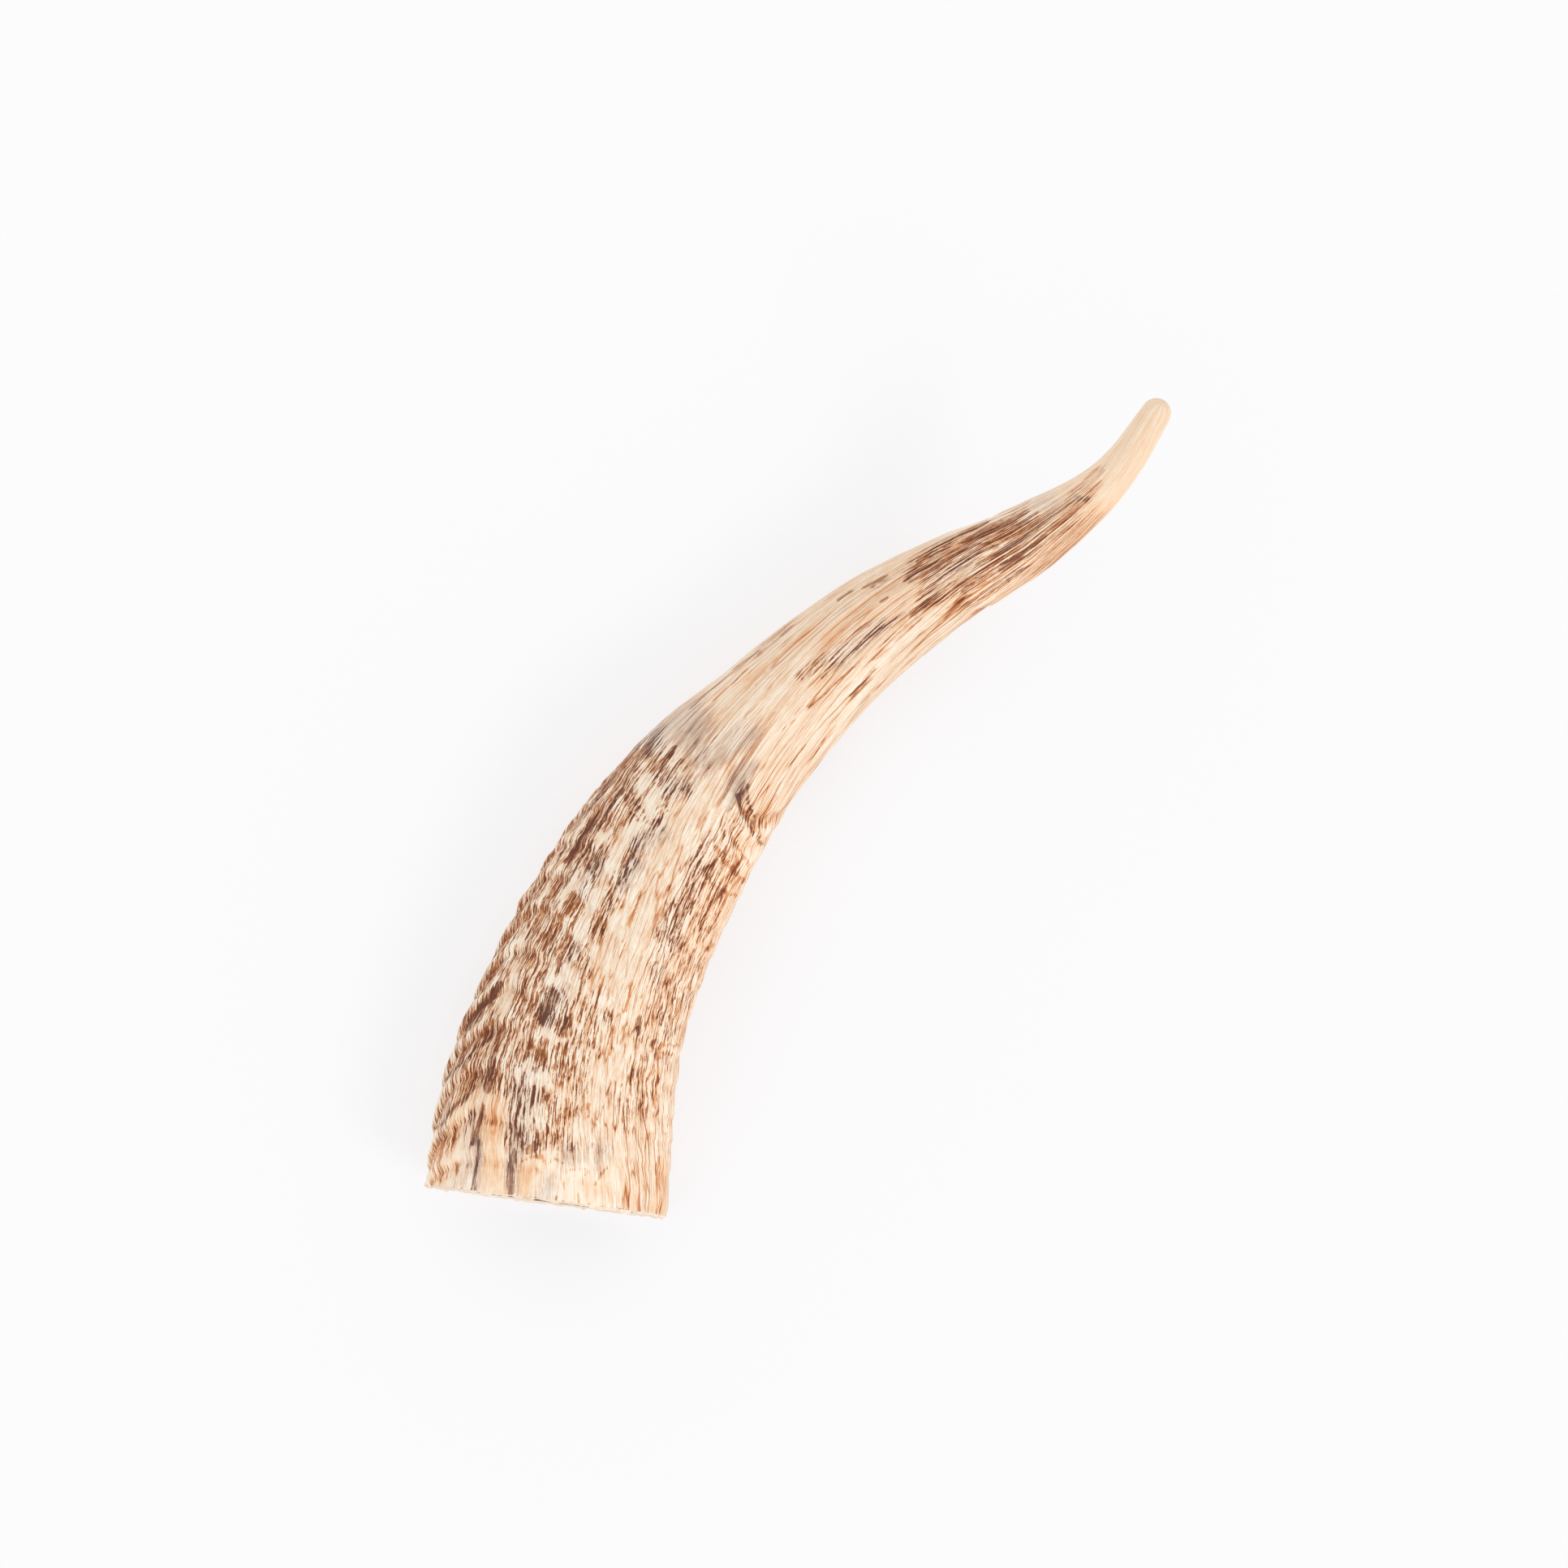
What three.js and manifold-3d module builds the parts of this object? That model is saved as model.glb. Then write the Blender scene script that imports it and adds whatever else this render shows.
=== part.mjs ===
import * as THREE from "three";
import { mergeVertices } from "three/addons/utils/BufferGeometryUtils.js";
import Module from "manifold-3d";

const { clamp, degToRad, lerp, radToDeg, smoothstep } = THREE.MathUtils;

// The horn sheath of a domestic goat, sawn off at the skull end and lying on its flatter side.
// Units are millimetres. +Z is up, +Y runs from the sawn end into the horn, and the horn curves
// to +X. Angles around the horn start at the keel and run over the crown to the inner side of
// the bend at 180 degrees. Distances along it start at the saw cut.

// The middle of the sawn end, measured from the centre of the horn's own footprint.
const SAWN_END = new THREE.Vector3(-39.2, -87.3, 0.1);
// The saw cut leans, so that its lower edge reaches out further than its upper edge.
const CUT_LEAN = 7;

// The axis at every 20 mm of its length, from 20 mm before the saw cut to the tip. The last
// value is the height above the table.
const STATION_STEP = 20;
const AXIS = [
  [0.2, -20, 13.6],
  [-0.2, 0, 13.8],
  [-0.6, 20, 13.9],
  [2.3, 39.8, 14.6],
  [7.9, 59, 15.3],
  [15.4, 77.6, 15.6],
  [25.1, 95.1, 14.5],
  [37.4, 110.8, 12.3],
  [51.1, 125.2, 14.4],
  [66.1, 137.4, 19.5],
  [81.2, 147.7, 28],
  [94.3, 160.3, 38.8],
  [102.3, 176, 50.5],
];
// At the same places: half the width seen from above, the thickness as a share of the width,
// and how far the horn has turned about its axis.
const HALF_WIDTH = [25.5, 24.9, 23.9, 21.8, 19.9, 18.5, 15.7, 12.9, 11.3, 9, 6.9, 4.3, 2.7];
const THICKNESS = [0.62, 0.62, 0.64, 0.66, 0.69, 0.73, 0.79, 0.87, 0.93, 0.97, 1, 1, 1];
const TWIST = [-6, 0, 7, 14, 21, 29, 36, 43, 50, 59, 71, 88, 108];
const TIP_ALONG = 219.6;
const TIP_ROUNDING = 2.7;
// The section is a drop: thinner towards the keel, fuller on the inner side of the bend.
const KEEL_PINCH = 0.2;
// The underside near the sawn end is flatter than an oval, so the horn lies steady on it.
const UNDERSIDE = { from: 0.84, crown: 0.3, fadeFrom: 28, fadeTo: 70 };

// The hollow that the bone core left: its wall at the sawn end, its depth and how blunt it ends.
const HOLLOW = { wall: 4.6, depth: 112, bluntness: 1.8 };

// Growth rings: low steps whose steep side faces the sawn end. They are tallest on the keel,
// and sweep towards the tip either side of it before they cross the crown.
const RINGS = { first: 3.6, pitch: 7.6, height: 1.1, steep: 0.2, leastShare: 0.3, wander: 1.1 };
const RING_SWEEP = { reach: 13, peakAngle: 62, fallBack: 0.75 };
const RINGS_FADE_FROM = 62;
const RINGS_FADE_TO = 98;

// Lengthwise furrows, each with its angle around the horn, and where it starts and ends.
const FURROWS = [
  { angle: 24, depth: 0.5, half: 1.5, from: 30, to: 100 },
  { angle: 52, depth: 0.55, half: 1.7, from: 0, to: 92 },
  { angle: 79, depth: 0.4, half: 1.8, from: -8, to: 30 },
  { angle: 96, depth: 0.35, half: 1.6, from: 86, to: 165 },
  { angle: 118, depth: 0.4, half: 1.6, from: 118, to: 190 },
  { angle: 146, depth: 0.5, half: 1.5, from: 12, to: 74 },
  { angle: 152, depth: 0.4, half: 1.5, from: 110, to: 196 },
  { angle: 205, depth: 0.5, half: 1.8, from: 8, to: 120 },
  { angle: 250, depth: 0.45, half: 1.9, from: 0, to: 80 },
  { angle: 262, depth: 0.4, half: 1.6, from: 96, to: 180 },
  { angle: 300, depth: 0.5, half: 1.8, from: 20, to: 110 },
  { angle: 332, depth: 0.5, half: 1.5, from: -8, to: 96 },
];
const FURROW_FADE = 12;
const FURROW_WANDER = { angle: 0.05, length: 13 };

// The crease across the inner side of the bend, and the folds behind it.
const CREASE = { along: 92, angle: 163, reach: 46, lean: 7 };
const CREASE_FOLDS = [
  { back: 0, height: -1, half: 1.7 },
  { back: 3, height: 0.6, half: 2.4 },
  { back: 6, height: -0.5, half: 1.7 },
  { back: 8.6, height: 0.5, half: 2.6 },
];
// The waist on the keel side, just past the last ring.
const WAIST = { along: 109, angle: 46, depth: 0.9, length: 8, reach: 40 };
// The last growth layer, at the tip, starts with a thin ledge.
const LEDGE = { along: 163, angle: 190, height: 0.45, swing: 9, wave: 1.5, rise: 2.5, run: 24 };
// Slow swellings, as on any grown thing.
const SWELLING = { broad: 0.35, broadTurn: 21, broadLength: 14, fine: 0.2, fineTurn: 11 };
const SWELLING_FADE = { from: 10, to: 60 };

// How finely the faces follow the horn.
const AROUND = 48;
const HOLLOW_AROUND = 32;
const RINGED_ROWS = 54;
const SMOOTH_ROWS = 30;
const HOLLOW_ROWS = 12;
const CAP_ROWS = 4;
// The straight horn starts this far before the saw cut, and the cut takes the extra off.
const EXTRA = 10;

function smoothCurve(points) {
  return new THREE.CatmullRomCurve3(points, false, "catmullrom", 0.5);
}

function stationAt(along) {
  return clamp((along / STATION_STEP + 1) / (AXIS.length - 1), 0, 1);
}

// A value between the stations, on the same kind of curve as the axis.
function valueAlong(values) {
  const curve = smoothCurve(values.map((value) => new THREE.Vector3(value, 0, 0)));
  return (along) => curve.getPoint(stationAt(along)).x;
}

const axisCurve = smoothCurve(AXIS.map(([x, y, z]) => new THREE.Vector3(x, y, z)));
const halfWidthAt = valueAlong(HALF_WIDTH);
const thicknessAt = valueAlong(THICKNESS);
const twistAt = valueAlong(TWIST);

// Half-axes of the section, worked out from the width seen from above and the turn.
function sectionAt(along) {
  const twist = degToRad(twistAt(along));
  const thickness = thicknessAt(along);
  const wide = halfWidthAt(along) / Math.hypot(Math.cos(twist), thickness * Math.sin(twist));
  return { wide, thick: wide * thickness, twist };
}

// The turn from one angle to another in radians, the short way round.
function turnFrom(degrees, angle) {
  const turn = angle - degToRad(degrees);
  return Math.atan2(Math.sin(turn), Math.cos(turn));
}

function bell(distance, half) {
  return Math.exp(-((distance / half) ** 2));
}

function ringSweep(angle) {
  const offset = Math.abs(radToDeg(turnFrom(0, angle)));
  const rise = Math.min(offset / RING_SWEEP.peakAngle, 1);
  const past = Math.max(offset - RING_SWEEP.peakAngle, 0) / (180 - RING_SWEEP.peakAngle);
  return RING_SWEEP.reach * Math.sin((rise * Math.PI) / 2) * (1 - RING_SWEEP.fallBack * past);
}

function ringRelief(angle, along) {
  const wander = RINGS.wander * Math.sin(angle) * Math.sin(2 * angle + along / 17);
  const turns = (along - ringSweep(angle) - RINGS.first + wander) / RINGS.pitch;
  const place = turns - Math.floor(turns);
  const rising = place / RINGS.steep;
  const falling = (1 - place) / (1 - RINGS.steep);
  const keel = (0.5 + 0.5 * Math.cos(angle)) ** 2;
  const fade = 1 - smoothstep(along, RINGS_FADE_FROM, RINGS_FADE_TO);
  const height = RINGS.height * lerp(RINGS.leastShare, 1, keel) * fade;
  return height * (Math.min(rising, falling) - 0.5);
}

function furrowRelief(angle, along, radius) {
  return FURROWS.reduce((sum, furrow) => {
    const wander = FURROW_WANDER.angle * Math.sin(along / FURROW_WANDER.length + furrow.angle);
    const across = radius * (turnFrom(furrow.angle, angle) - wander);
    const opening = smoothstep(along, furrow.from, furrow.from + FURROW_FADE);
    const closing = 1 - smoothstep(along, furrow.to - FURROW_FADE, furrow.to);
    return sum - furrow.depth * opening * closing * bell(across, furrow.half);
  }, 0);
}

function creaseRelief(angle, along) {
  const across = radToDeg(turnFrom(CREASE.angle, angle)) / CREASE.reach;
  const line = CREASE.along + CREASE.lean * Math.abs(across);
  const folds = CREASE_FOLDS.reduce(
    (sum, fold) => sum + fold.height * bell(along - line + fold.back, fold.half),
    0,
  );
  return bell(across, 1) * folds;
}

function waistRelief(angle, along) {
  const across = radToDeg(turnFrom(WAIST.angle, angle));
  return -WAIST.depth * bell(across, WAIST.reach) * bell(along - WAIST.along, WAIST.length);
}

function ledgeRelief(angle, along) {
  const swing = LEDGE.swing * (1 - Math.cos(turnFrom(LEDGE.angle, angle)));
  const line = LEDGE.along + swing + LEDGE.wave * Math.sin(3 * angle);
  const step = smoothstep(along, line, line + LEDGE.rise);
  const thinning = 1 - smoothstep(along, line + LEDGE.rise, line + LEDGE.run);
  return LEDGE.height * step * thinning;
}

function swellingRelief(angle, along) {
  const turning = Math.sin(2 * angle + along / SWELLING.broadTurn);
  const broad = SWELLING.broad * turning * Math.sin(along / SWELLING.broadLength + 1);
  const fine = SWELLING.fine * Math.sin(3 * angle - along / SWELLING.fineTurn);
  return (broad + fine) * smoothstep(TIP_ALONG - along, SWELLING_FADE.from, SWELLING_FADE.to);
}

// How far the skin stands out from the smooth section.
function relief(angle, along, radius) {
  return (
    ringRelief(angle, along) +
    furrowRelief(angle, along, radius) +
    creaseRelief(angle, along) +
    waistRelief(angle, along) +
    ledgeRelief(angle, along) +
    swellingRelief(angle, along)
  );
}

function flattened(height, thick, along) {
  const limit = -UNDERSIDE.from * thick;
  const share = 1 - smoothstep(along, UNDERSIDE.fadeFrom, UNDERSIDE.fadeTo);
  const crown = lerp(1, UNDERSIDE.crown, share);
  return height < limit ? lerp(limit, height, crown) : height;
}

// Moves one point of the straight horn to its place on the bent one. In the straight horn y is
// the distance along, and x and z are shares of the section's half-axes, right and up.
function bend(straight, wall, detailed) {
  const along = straight.y;
  const { wide, thick, twist } = sectionAt(along);
  const share = Math.hypot(straight.x, straight.z);
  const angle = Math.atan2(straight.z, -straight.x);
  const raised = detailed ? share * relief(angle, along, (wide + thick) / 2) : 0;
  const pinch = 1 - KEEL_PINCH * (1 - along / TIP_ALONG) * Math.cos(angle);
  const right = -(share * (wide - wall) + raised) * Math.cos(angle);
  const height = (share * (thick - wall) + raised) * Math.sin(angle) * pinch;
  const up = flattened(height, thick, along);

  const forward = axisCurve.getTangent(stationAt(along));
  const rightward = new THREE.Vector3(forward.y, -forward.x, 0).normalize();
  const upward = rightward.clone().cross(forward);
  return axisCurve
    .getPoint(stationAt(along))
    .addScaledVector(rightward, right * Math.cos(twist) - up * Math.sin(twist))
    .addScaledVector(upward, right * Math.sin(twist) + up * Math.cos(twist));
}

// Leaves only positions, with the corners that meet made one.
function welded(geometry) {
  geometry.deleteAttribute("normal");
  geometry.deleteAttribute("uv");
  return mergeVertices(geometry);
}

function bentLathe(profile, around, wall, detailed) {
  const geometry = welded(new THREE.LatheGeometry(profile, around));
  const places = geometry.getAttribute("position");
  for (let i = 0; i < places.count; i++) {
    const moved = bend(new THREE.Vector3().fromBufferAttribute(places, i), wall, detailed);
    places.setXYZ(i, moved.x, moved.y, moved.z);
  }
  return geometry;
}

// Outline of the straight horn: a plain wall with close rows where the rings are, and a round tip.
function hornProfile() {
  const capStart = TIP_ALONG - TIP_ROUNDING;
  const points = [new THREE.Vector2(0, -EXTRA)];
  for (let row = 0; row <= RINGED_ROWS; row++) {
    points.push(new THREE.Vector2(1, lerp(-EXTRA, RINGS_FADE_TO, row / RINGED_ROWS)));
  }
  for (let row = 1; row <= SMOOTH_ROWS; row++) {
    points.push(new THREE.Vector2(1, lerp(RINGS_FADE_TO, capStart, row / SMOOTH_ROWS)));
  }
  for (let row = 1; row < CAP_ROWS; row++) {
    const turn = (row / CAP_ROWS) * (Math.PI / 2);
    points.push(new THREE.Vector2(Math.cos(turn), capStart + TIP_ROUNDING * Math.sin(turn)));
  }
  points.push(new THREE.Vector2(0, TIP_ALONG));
  return points;
}

function hollowProfile() {
  const points = [new THREE.Vector2(0, -EXTRA)];
  for (let row = 0; row < HOLLOW_ROWS; row++) {
    const along = lerp(-EXTRA, HOLLOW.depth, row / HOLLOW_ROWS);
    const inside = Math.max(along / HOLLOW.depth, 0);
    points.push(new THREE.Vector2(1 - inside ** HOLLOW.bluntness, along));
  }
  points.push(new THREE.Vector2(0, HOLLOW.depth));
  return points;
}

// Everything on the skull side of the saw cut.
function sawnOff() {
  const size = 4 * STATION_STEP;
  const block = new THREE.BoxGeometry(size, size, size);
  block.translate(0, -size / 2, 0);
  block.rotateX(degToRad(-CUT_LEAN));
  const [x, y, z] = AXIS[1];
  block.translate(x, y, z);
  return block;
}

const wasm = await Module();
wasm.setup();

function toSolid(geometry) {
  const closed = welded(geometry);
  const vertProperties = new Float32Array(closed.getAttribute("position").array);
  const triVerts = new Uint32Array(closed.getIndex().array);
  return new wasm.Manifold(new wasm.Mesh({ numProp: 3, vertProperties, triVerts }));
}

function toGeometry(solid) {
  const mesh = solid.getMesh();
  const geometry = new THREE.BufferGeometry();
  geometry.setAttribute("position", new THREE.BufferAttribute(mesh.vertProperties, 3));
  geometry.setIndex(new THREE.BufferAttribute(mesh.triVerts, 1));
  geometry.computeVertexNormals();
  return geometry;
}

function hornGeometry() {
  const grown = toSolid(bentLathe(hornProfile(), AROUND, 0, true));
  const hollow = toSolid(bentLathe(hollowProfile(), HOLLOW_AROUND, HOLLOW.wall, false));
  return toGeometry(grown.subtract(hollow).subtract(toSolid(sawnOff())));
}

const keratin = new THREE.MeshStandardMaterial({ color: 0xe3c49c, roughness: 0.62, metalness: 0 });

const horn = new THREE.Mesh(hornGeometry(), keratin);
horn.name = "horn";
horn.position.copy(SAWN_END);

const goatHorn = new THREE.Group();
goatHorn.add(horn);

export default goatHorn;
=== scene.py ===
import itertools
import math
from typing import NamedTuple

import bpy
import numpy as np
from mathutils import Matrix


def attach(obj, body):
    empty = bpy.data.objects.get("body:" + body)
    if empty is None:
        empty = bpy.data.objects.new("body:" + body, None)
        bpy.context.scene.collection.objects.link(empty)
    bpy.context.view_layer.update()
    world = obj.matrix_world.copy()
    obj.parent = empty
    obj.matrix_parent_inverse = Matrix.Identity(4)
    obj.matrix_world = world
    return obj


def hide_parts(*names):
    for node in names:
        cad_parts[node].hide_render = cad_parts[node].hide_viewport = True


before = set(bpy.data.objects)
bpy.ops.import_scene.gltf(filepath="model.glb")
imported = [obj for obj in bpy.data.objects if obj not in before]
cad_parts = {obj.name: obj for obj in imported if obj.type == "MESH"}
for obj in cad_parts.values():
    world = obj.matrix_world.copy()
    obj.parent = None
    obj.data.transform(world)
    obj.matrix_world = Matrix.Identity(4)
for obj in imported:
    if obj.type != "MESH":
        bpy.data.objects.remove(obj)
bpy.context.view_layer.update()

# A goat's horn sheath, sawn off at the skull end and bleached by weather. The form is worked out
# in millimetres from the same values as the solid. Angles around the horn start at the keel and
# run over the crown to the inner side of the bend. Distances along it start at the saw cut.
MM = 0.001
SAWN_END = np.array([-39.2, -87.3, 0.1])
CUT_LEAN = math.radians(7)
CUT_OUTWARD = np.array([0, -math.cos(CUT_LEAN), math.sin(CUT_LEAN)])

STATION_STEP = 20
AXIS = np.array(
    [
        [0.2, -20, 13.6],
        [-0.2, 0, 13.8],
        [-0.6, 20, 13.9],
        [2.3, 39.8, 14.6],
        [7.9, 59, 15.3],
        [15.4, 77.6, 15.6],
        [25.1, 95.1, 14.5],
        [37.4, 110.8, 12.3],
        [51.1, 125.2, 14.4],
        [66.1, 137.4, 19.5],
        [81.2, 147.7, 28],
        [94.3, 160.3, 38.8],
        [102.3, 176, 50.5],
    ]
)
HALF_WIDTH = np.array([25.5, 24.9, 23.9, 21.8, 19.9, 18.5, 15.7, 12.9, 11.3, 9, 6.9, 4.3, 2.7])
THICKNESS = np.array([0.62, 0.62, 0.64, 0.66, 0.69, 0.73, 0.79, 0.87, 0.93, 0.97, 1, 1, 1])
TWIST = np.array([-6, 0, 7, 14, 21, 29, 36, 43, 50, 59, 71, 88, 108])
TIP_ALONG = 219.6
TIP_ROUNDING = 2.7
KEEL_PINCH = 0.2
UNDERSIDE_FROM = 0.84
UNDERSIDE_CROWN = 0.3
UNDERSIDE_FADE = (28, 70)
WALL = 4.6
HOLLOW_DEPTH = 112
HOLLOW_BLUNTNESS = 1.8


class Furrow(NamedTuple):
    angle: float
    depth: float
    half: float
    start: float
    end: float


class Fold(NamedTuple):
    back: float
    height: float
    half: float


class Layer(NamedTuple):
    """Unevenness of one size: how strong it is, how long and how wide its lumps are in
    millimetres, and the seed that it is drawn from."""

    strength: float
    length: float
    width: float
    seed: int


RING_FIRST = 3.6
RING_PITCH = 7.6
RING_HEIGHT = 1.1
RING_STEEP = 0.2
RING_LEAST_SHARE = 0.3
RING_WANDER = 1.1
RING_WANDER_LENGTH = 17
RING_SWEEP = 13
RING_PEAK_ANGLE = 62
RING_FALL_BACK = 0.75
RINGS_FADE = (62, 98)
RAGGED_RINGS = [Layer(0.9, 7, 4, 3), Layer(0.35, 2.5, 1.6, 4)]
FURROWS = [
    Furrow(24, 0.5, 1.5, 30, 100),
    Furrow(52, 0.55, 1.7, 0, 92),
    Furrow(79, 0.4, 1.8, -8, 30),
    Furrow(96, 0.35, 1.6, 86, 165),
    Furrow(118, 0.4, 1.6, 118, 190),
    Furrow(146, 0.5, 1.5, 12, 74),
    Furrow(152, 0.4, 1.5, 110, 196),
    Furrow(205, 0.5, 1.8, 8, 120),
    Furrow(250, 0.45, 1.9, 0, 80),
    Furrow(262, 0.4, 1.6, 96, 180),
    Furrow(300, 0.5, 1.8, 20, 110),
    Furrow(332, 0.5, 1.5, -8, 96),
]
FURROW_FADE = 12
FURROW_WANDER = 0.05
FURROW_WANDER_LENGTH = 13
CREASE_ALONG = 92
CREASE_ANGLE = 163
CREASE_REACH = 46
CREASE_LEAN = 7
CREASE_FOLDS = [Fold(0, -1, 1.7), Fold(3, 0.6, 2.4), Fold(6, -0.5, 1.7), Fold(8.6, 0.5, 2.6)]
WAIST_ALONG = 109
WAIST_ANGLE = 46
WAIST_DEPTH = 0.9
WAIST_LENGTH = 8
WAIST_REACH = 40
LEDGE_ALONG = 163
LEDGE_ANGLE = 190
LEDGE_HEIGHT = 0.45
LEDGE_SWING = 9
LEDGE_WAVE = 1.5
LEDGE_RISE = 2.5
LEDGE_RUN = 24
SWELLING_BROAD = 0.35
SWELLING_BROAD_TURN = 21
SWELLING_BROAD_LENGTH = 14
SWELLING_FINE = 0.2
SWELLING_FINE_TURN = 11
SWELLING_FADE = (10, 60)

# What the solid leaves out: split fibres, lumps and fine rings, and the rough hollow.
FIBRE_RADIUS = 18.5
FIBRE_NARROWING = 6
FIBRES_NARROW = (-10, 112)
SPLIT_FIBRES = [Layer(0.13, 13, 1.7, 11), Layer(0.07, 7, 0.9, 12), Layer(0.12, 4, 3, 13)]
FINE_RINGS = 4
FINE_RING_HEIGHT = 0.1
TIP_SMOOTHNESS = 0.6
TIP_SMOOTHS = (165, 200)
HOLLOW_RADIUS = 12
HOLLOW_ROUGHNESS = [Layer(0.22, 9, 2, 21), Layer(0.1, 2, 1, 22)]

# The saw cut is looked for within this distance of its middle, in this many halvings.
CUT_REACH = 8.0
CUT_HALVINGS = 24

# How finely the skin is divided.
AROUND = 288
RINGED_ROWS = 165
SMOOTH_ROWS = 125
CAP_ROWS = 8
HOLLOW_ROWS = 26
RIM_ROWS = 6
# Points that lie closer than this, in metres, become one. Faces that turn less than this from
# each other are shaded as one smooth skin.
SEAM_GAP = 2e-6
SMOOTH_BELOW = math.radians(50)


def smoothstep(value, low, high):
    share = np.clip((value - low) / (high - low), 0, 1)
    return share * share * (3 - 2 * share)


def bell(distance, half):
    return np.exp(-((distance / half) ** 2))


def turn_from(degrees, angle):
    turn = angle - math.radians(degrees)
    return np.arctan2(np.sin(turn), np.cos(turn))


# Hashing constants of the lattice that the uneven growth and weathering are drawn from.
LATTICE_PRIMES = np.array([73856093, 19349663, 83492791], dtype=np.uint32)
SEED_PRIME = 2654435761
MIX_PRIME = np.uint32(2246822519)


def unevenness(points, seed):
    """Smooth lumps from -1 to 1, about one to each unit of the points."""
    cell = np.floor(points).astype(np.int64)
    part = points - cell
    eased = part * part * (3 - 2 * part)
    offset = np.uint32(seed * SEED_PRIME % 2**32)
    total = np.zeros(len(points))
    for corner in itertools.product((0, 1), repeat=3):
        key = (cell + corner).astype(np.uint32) * LATTICE_PRIMES
        mixed = (key[:, 0] ^ key[:, 1] ^ key[:, 2]) + offset
        mixed = (mixed ^ (mixed >> np.uint32(15))) * MIX_PRIME
        mixed = (mixed ^ (mixed >> np.uint32(13))) * MIX_PRIME
        height = (mixed >> np.uint32(16)).astype(float) / 32767.5 - 1
        share = np.prod(np.where(corner, eased, 1 - eased), axis=1)
        total += share * height
    return total


def uneven(places, *layers):
    """The layers' unevenness, added up, at places along and around the horn."""
    total = 0
    for layer in layers:
        size = [layer.length, layer.width, layer.width]
        total = total + layer.strength * unevenness(places / size, layer.seed)
    return total


def along_stations(values, along):
    """The value and its slope between the stations, on a smooth curve through them."""
    before = 2 * values[:1] - values[1:2]
    after = 2 * values[-1:] - values[-2:-1]
    padded = np.concatenate([before, values, after])
    place = np.clip(along / STATION_STEP + 1, 0, len(values) - 1)
    index = np.minimum(place.astype(int), len(values) - 2)
    share = place - index
    if values.ndim > 1:
        share = share[:, None]
    start, end = padded[index + 1], padded[index + 2]
    leaving = (end - padded[index]) / 2
    arriving = (padded[index + 3] - start) / 2
    cubic = 2 * start - 2 * end + leaving + arriving
    square = -3 * start + 3 * end - 2 * leaving - arriving
    value = ((cubic * share + square) * share + leaving) * share + start
    slope = (3 * cubic * share + 2 * square) * share + leaving
    return value, slope


def section_at(along):
    twist = np.radians(along_stations(TWIST, along)[0])
    thickness = along_stations(THICKNESS, along)[0]
    half_width = along_stations(HALF_WIDTH, along)[0]
    wide = half_width / np.hypot(np.cos(twist), thickness * np.sin(twist))
    return wide, wide * thickness, twist


def around_horn(angle, along, radius):
    return np.stack([along, radius * np.cos(angle), radius * np.sin(angle)], axis=1)


def ring_place(angle, along, radius):
    """How far through its ring each point is, from 0 at the foot of the step to 1."""
    offset = np.abs(np.degrees(turn_from(0, angle)))
    rise = np.minimum(offset / RING_PEAK_ANGLE, 1)
    past = np.maximum(offset - RING_PEAK_ANGLE, 0) / (180 - RING_PEAK_ANGLE)
    sweep = RING_SWEEP * np.sin(rise * math.pi / 2) * (1 - RING_FALL_BACK * past)
    wander = RING_WANDER * np.sin(angle) * np.sin(2 * angle + along / RING_WANDER_LENGTH)
    ragged = uneven(around_horn(angle, along, radius), *RAGGED_RINGS)
    turns = (along - sweep - RING_FIRST + wander + ragged) / RING_PITCH
    return turns - np.floor(turns)


def keel_share(angle):
    """1 on the keel, down to 0 on the inner side of the bend."""
    return 0.5 + 0.5 * np.cos(angle)


def ring_relief(angle, along, radius):
    place = ring_place(angle, along, radius)
    rising = place / RING_STEEP
    falling = (1 - place) / (1 - RING_STEEP)
    keel = keel_share(angle) ** 2
    fade = 1 - smoothstep(along, *RINGS_FADE)
    height = RING_HEIGHT * (RING_LEAST_SHARE + (1 - RING_LEAST_SHARE) * keel) * fade
    return height * (np.minimum(rising, falling) - 0.5)


def furrow_relief(angle, along, radius):
    total = np.zeros(len(angle))
    for furrow in FURROWS:
        wander = FURROW_WANDER * np.sin(along / FURROW_WANDER_LENGTH + furrow.angle)
        across = radius * (turn_from(furrow.angle, angle) - wander)
        opening = smoothstep(along, furrow.start, furrow.start + FURROW_FADE)
        closing = 1 - smoothstep(along, furrow.end - FURROW_FADE, furrow.end)
        total -= furrow.depth * opening * closing * bell(across, furrow.half)
    return total


def crease_relief(angle, along):
    across = np.degrees(turn_from(CREASE_ANGLE, angle)) / CREASE_REACH
    line = CREASE_ALONG + CREASE_LEAN * np.abs(across)
    folds = sum(fold.height * bell(along - line + fold.back, fold.half) for fold in CREASE_FOLDS)
    return bell(across, 1) * folds


def waist_relief(angle, along):
    across = np.degrees(turn_from(WAIST_ANGLE, angle))
    return -WAIST_DEPTH * bell(across, WAIST_REACH) * bell(along - WAIST_ALONG, WAIST_LENGTH)


def ledge_relief(angle, along):
    swing = LEDGE_SWING * (1 - np.cos(turn_from(LEDGE_ANGLE, angle)))
    line = LEDGE_ALONG + swing + LEDGE_WAVE * np.sin(3 * angle)
    step = smoothstep(along, line, line + LEDGE_RISE)
    thinning = 1 - smoothstep(along, line + LEDGE_RISE, line + LEDGE_RUN)
    return LEDGE_HEIGHT * step * thinning


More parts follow.
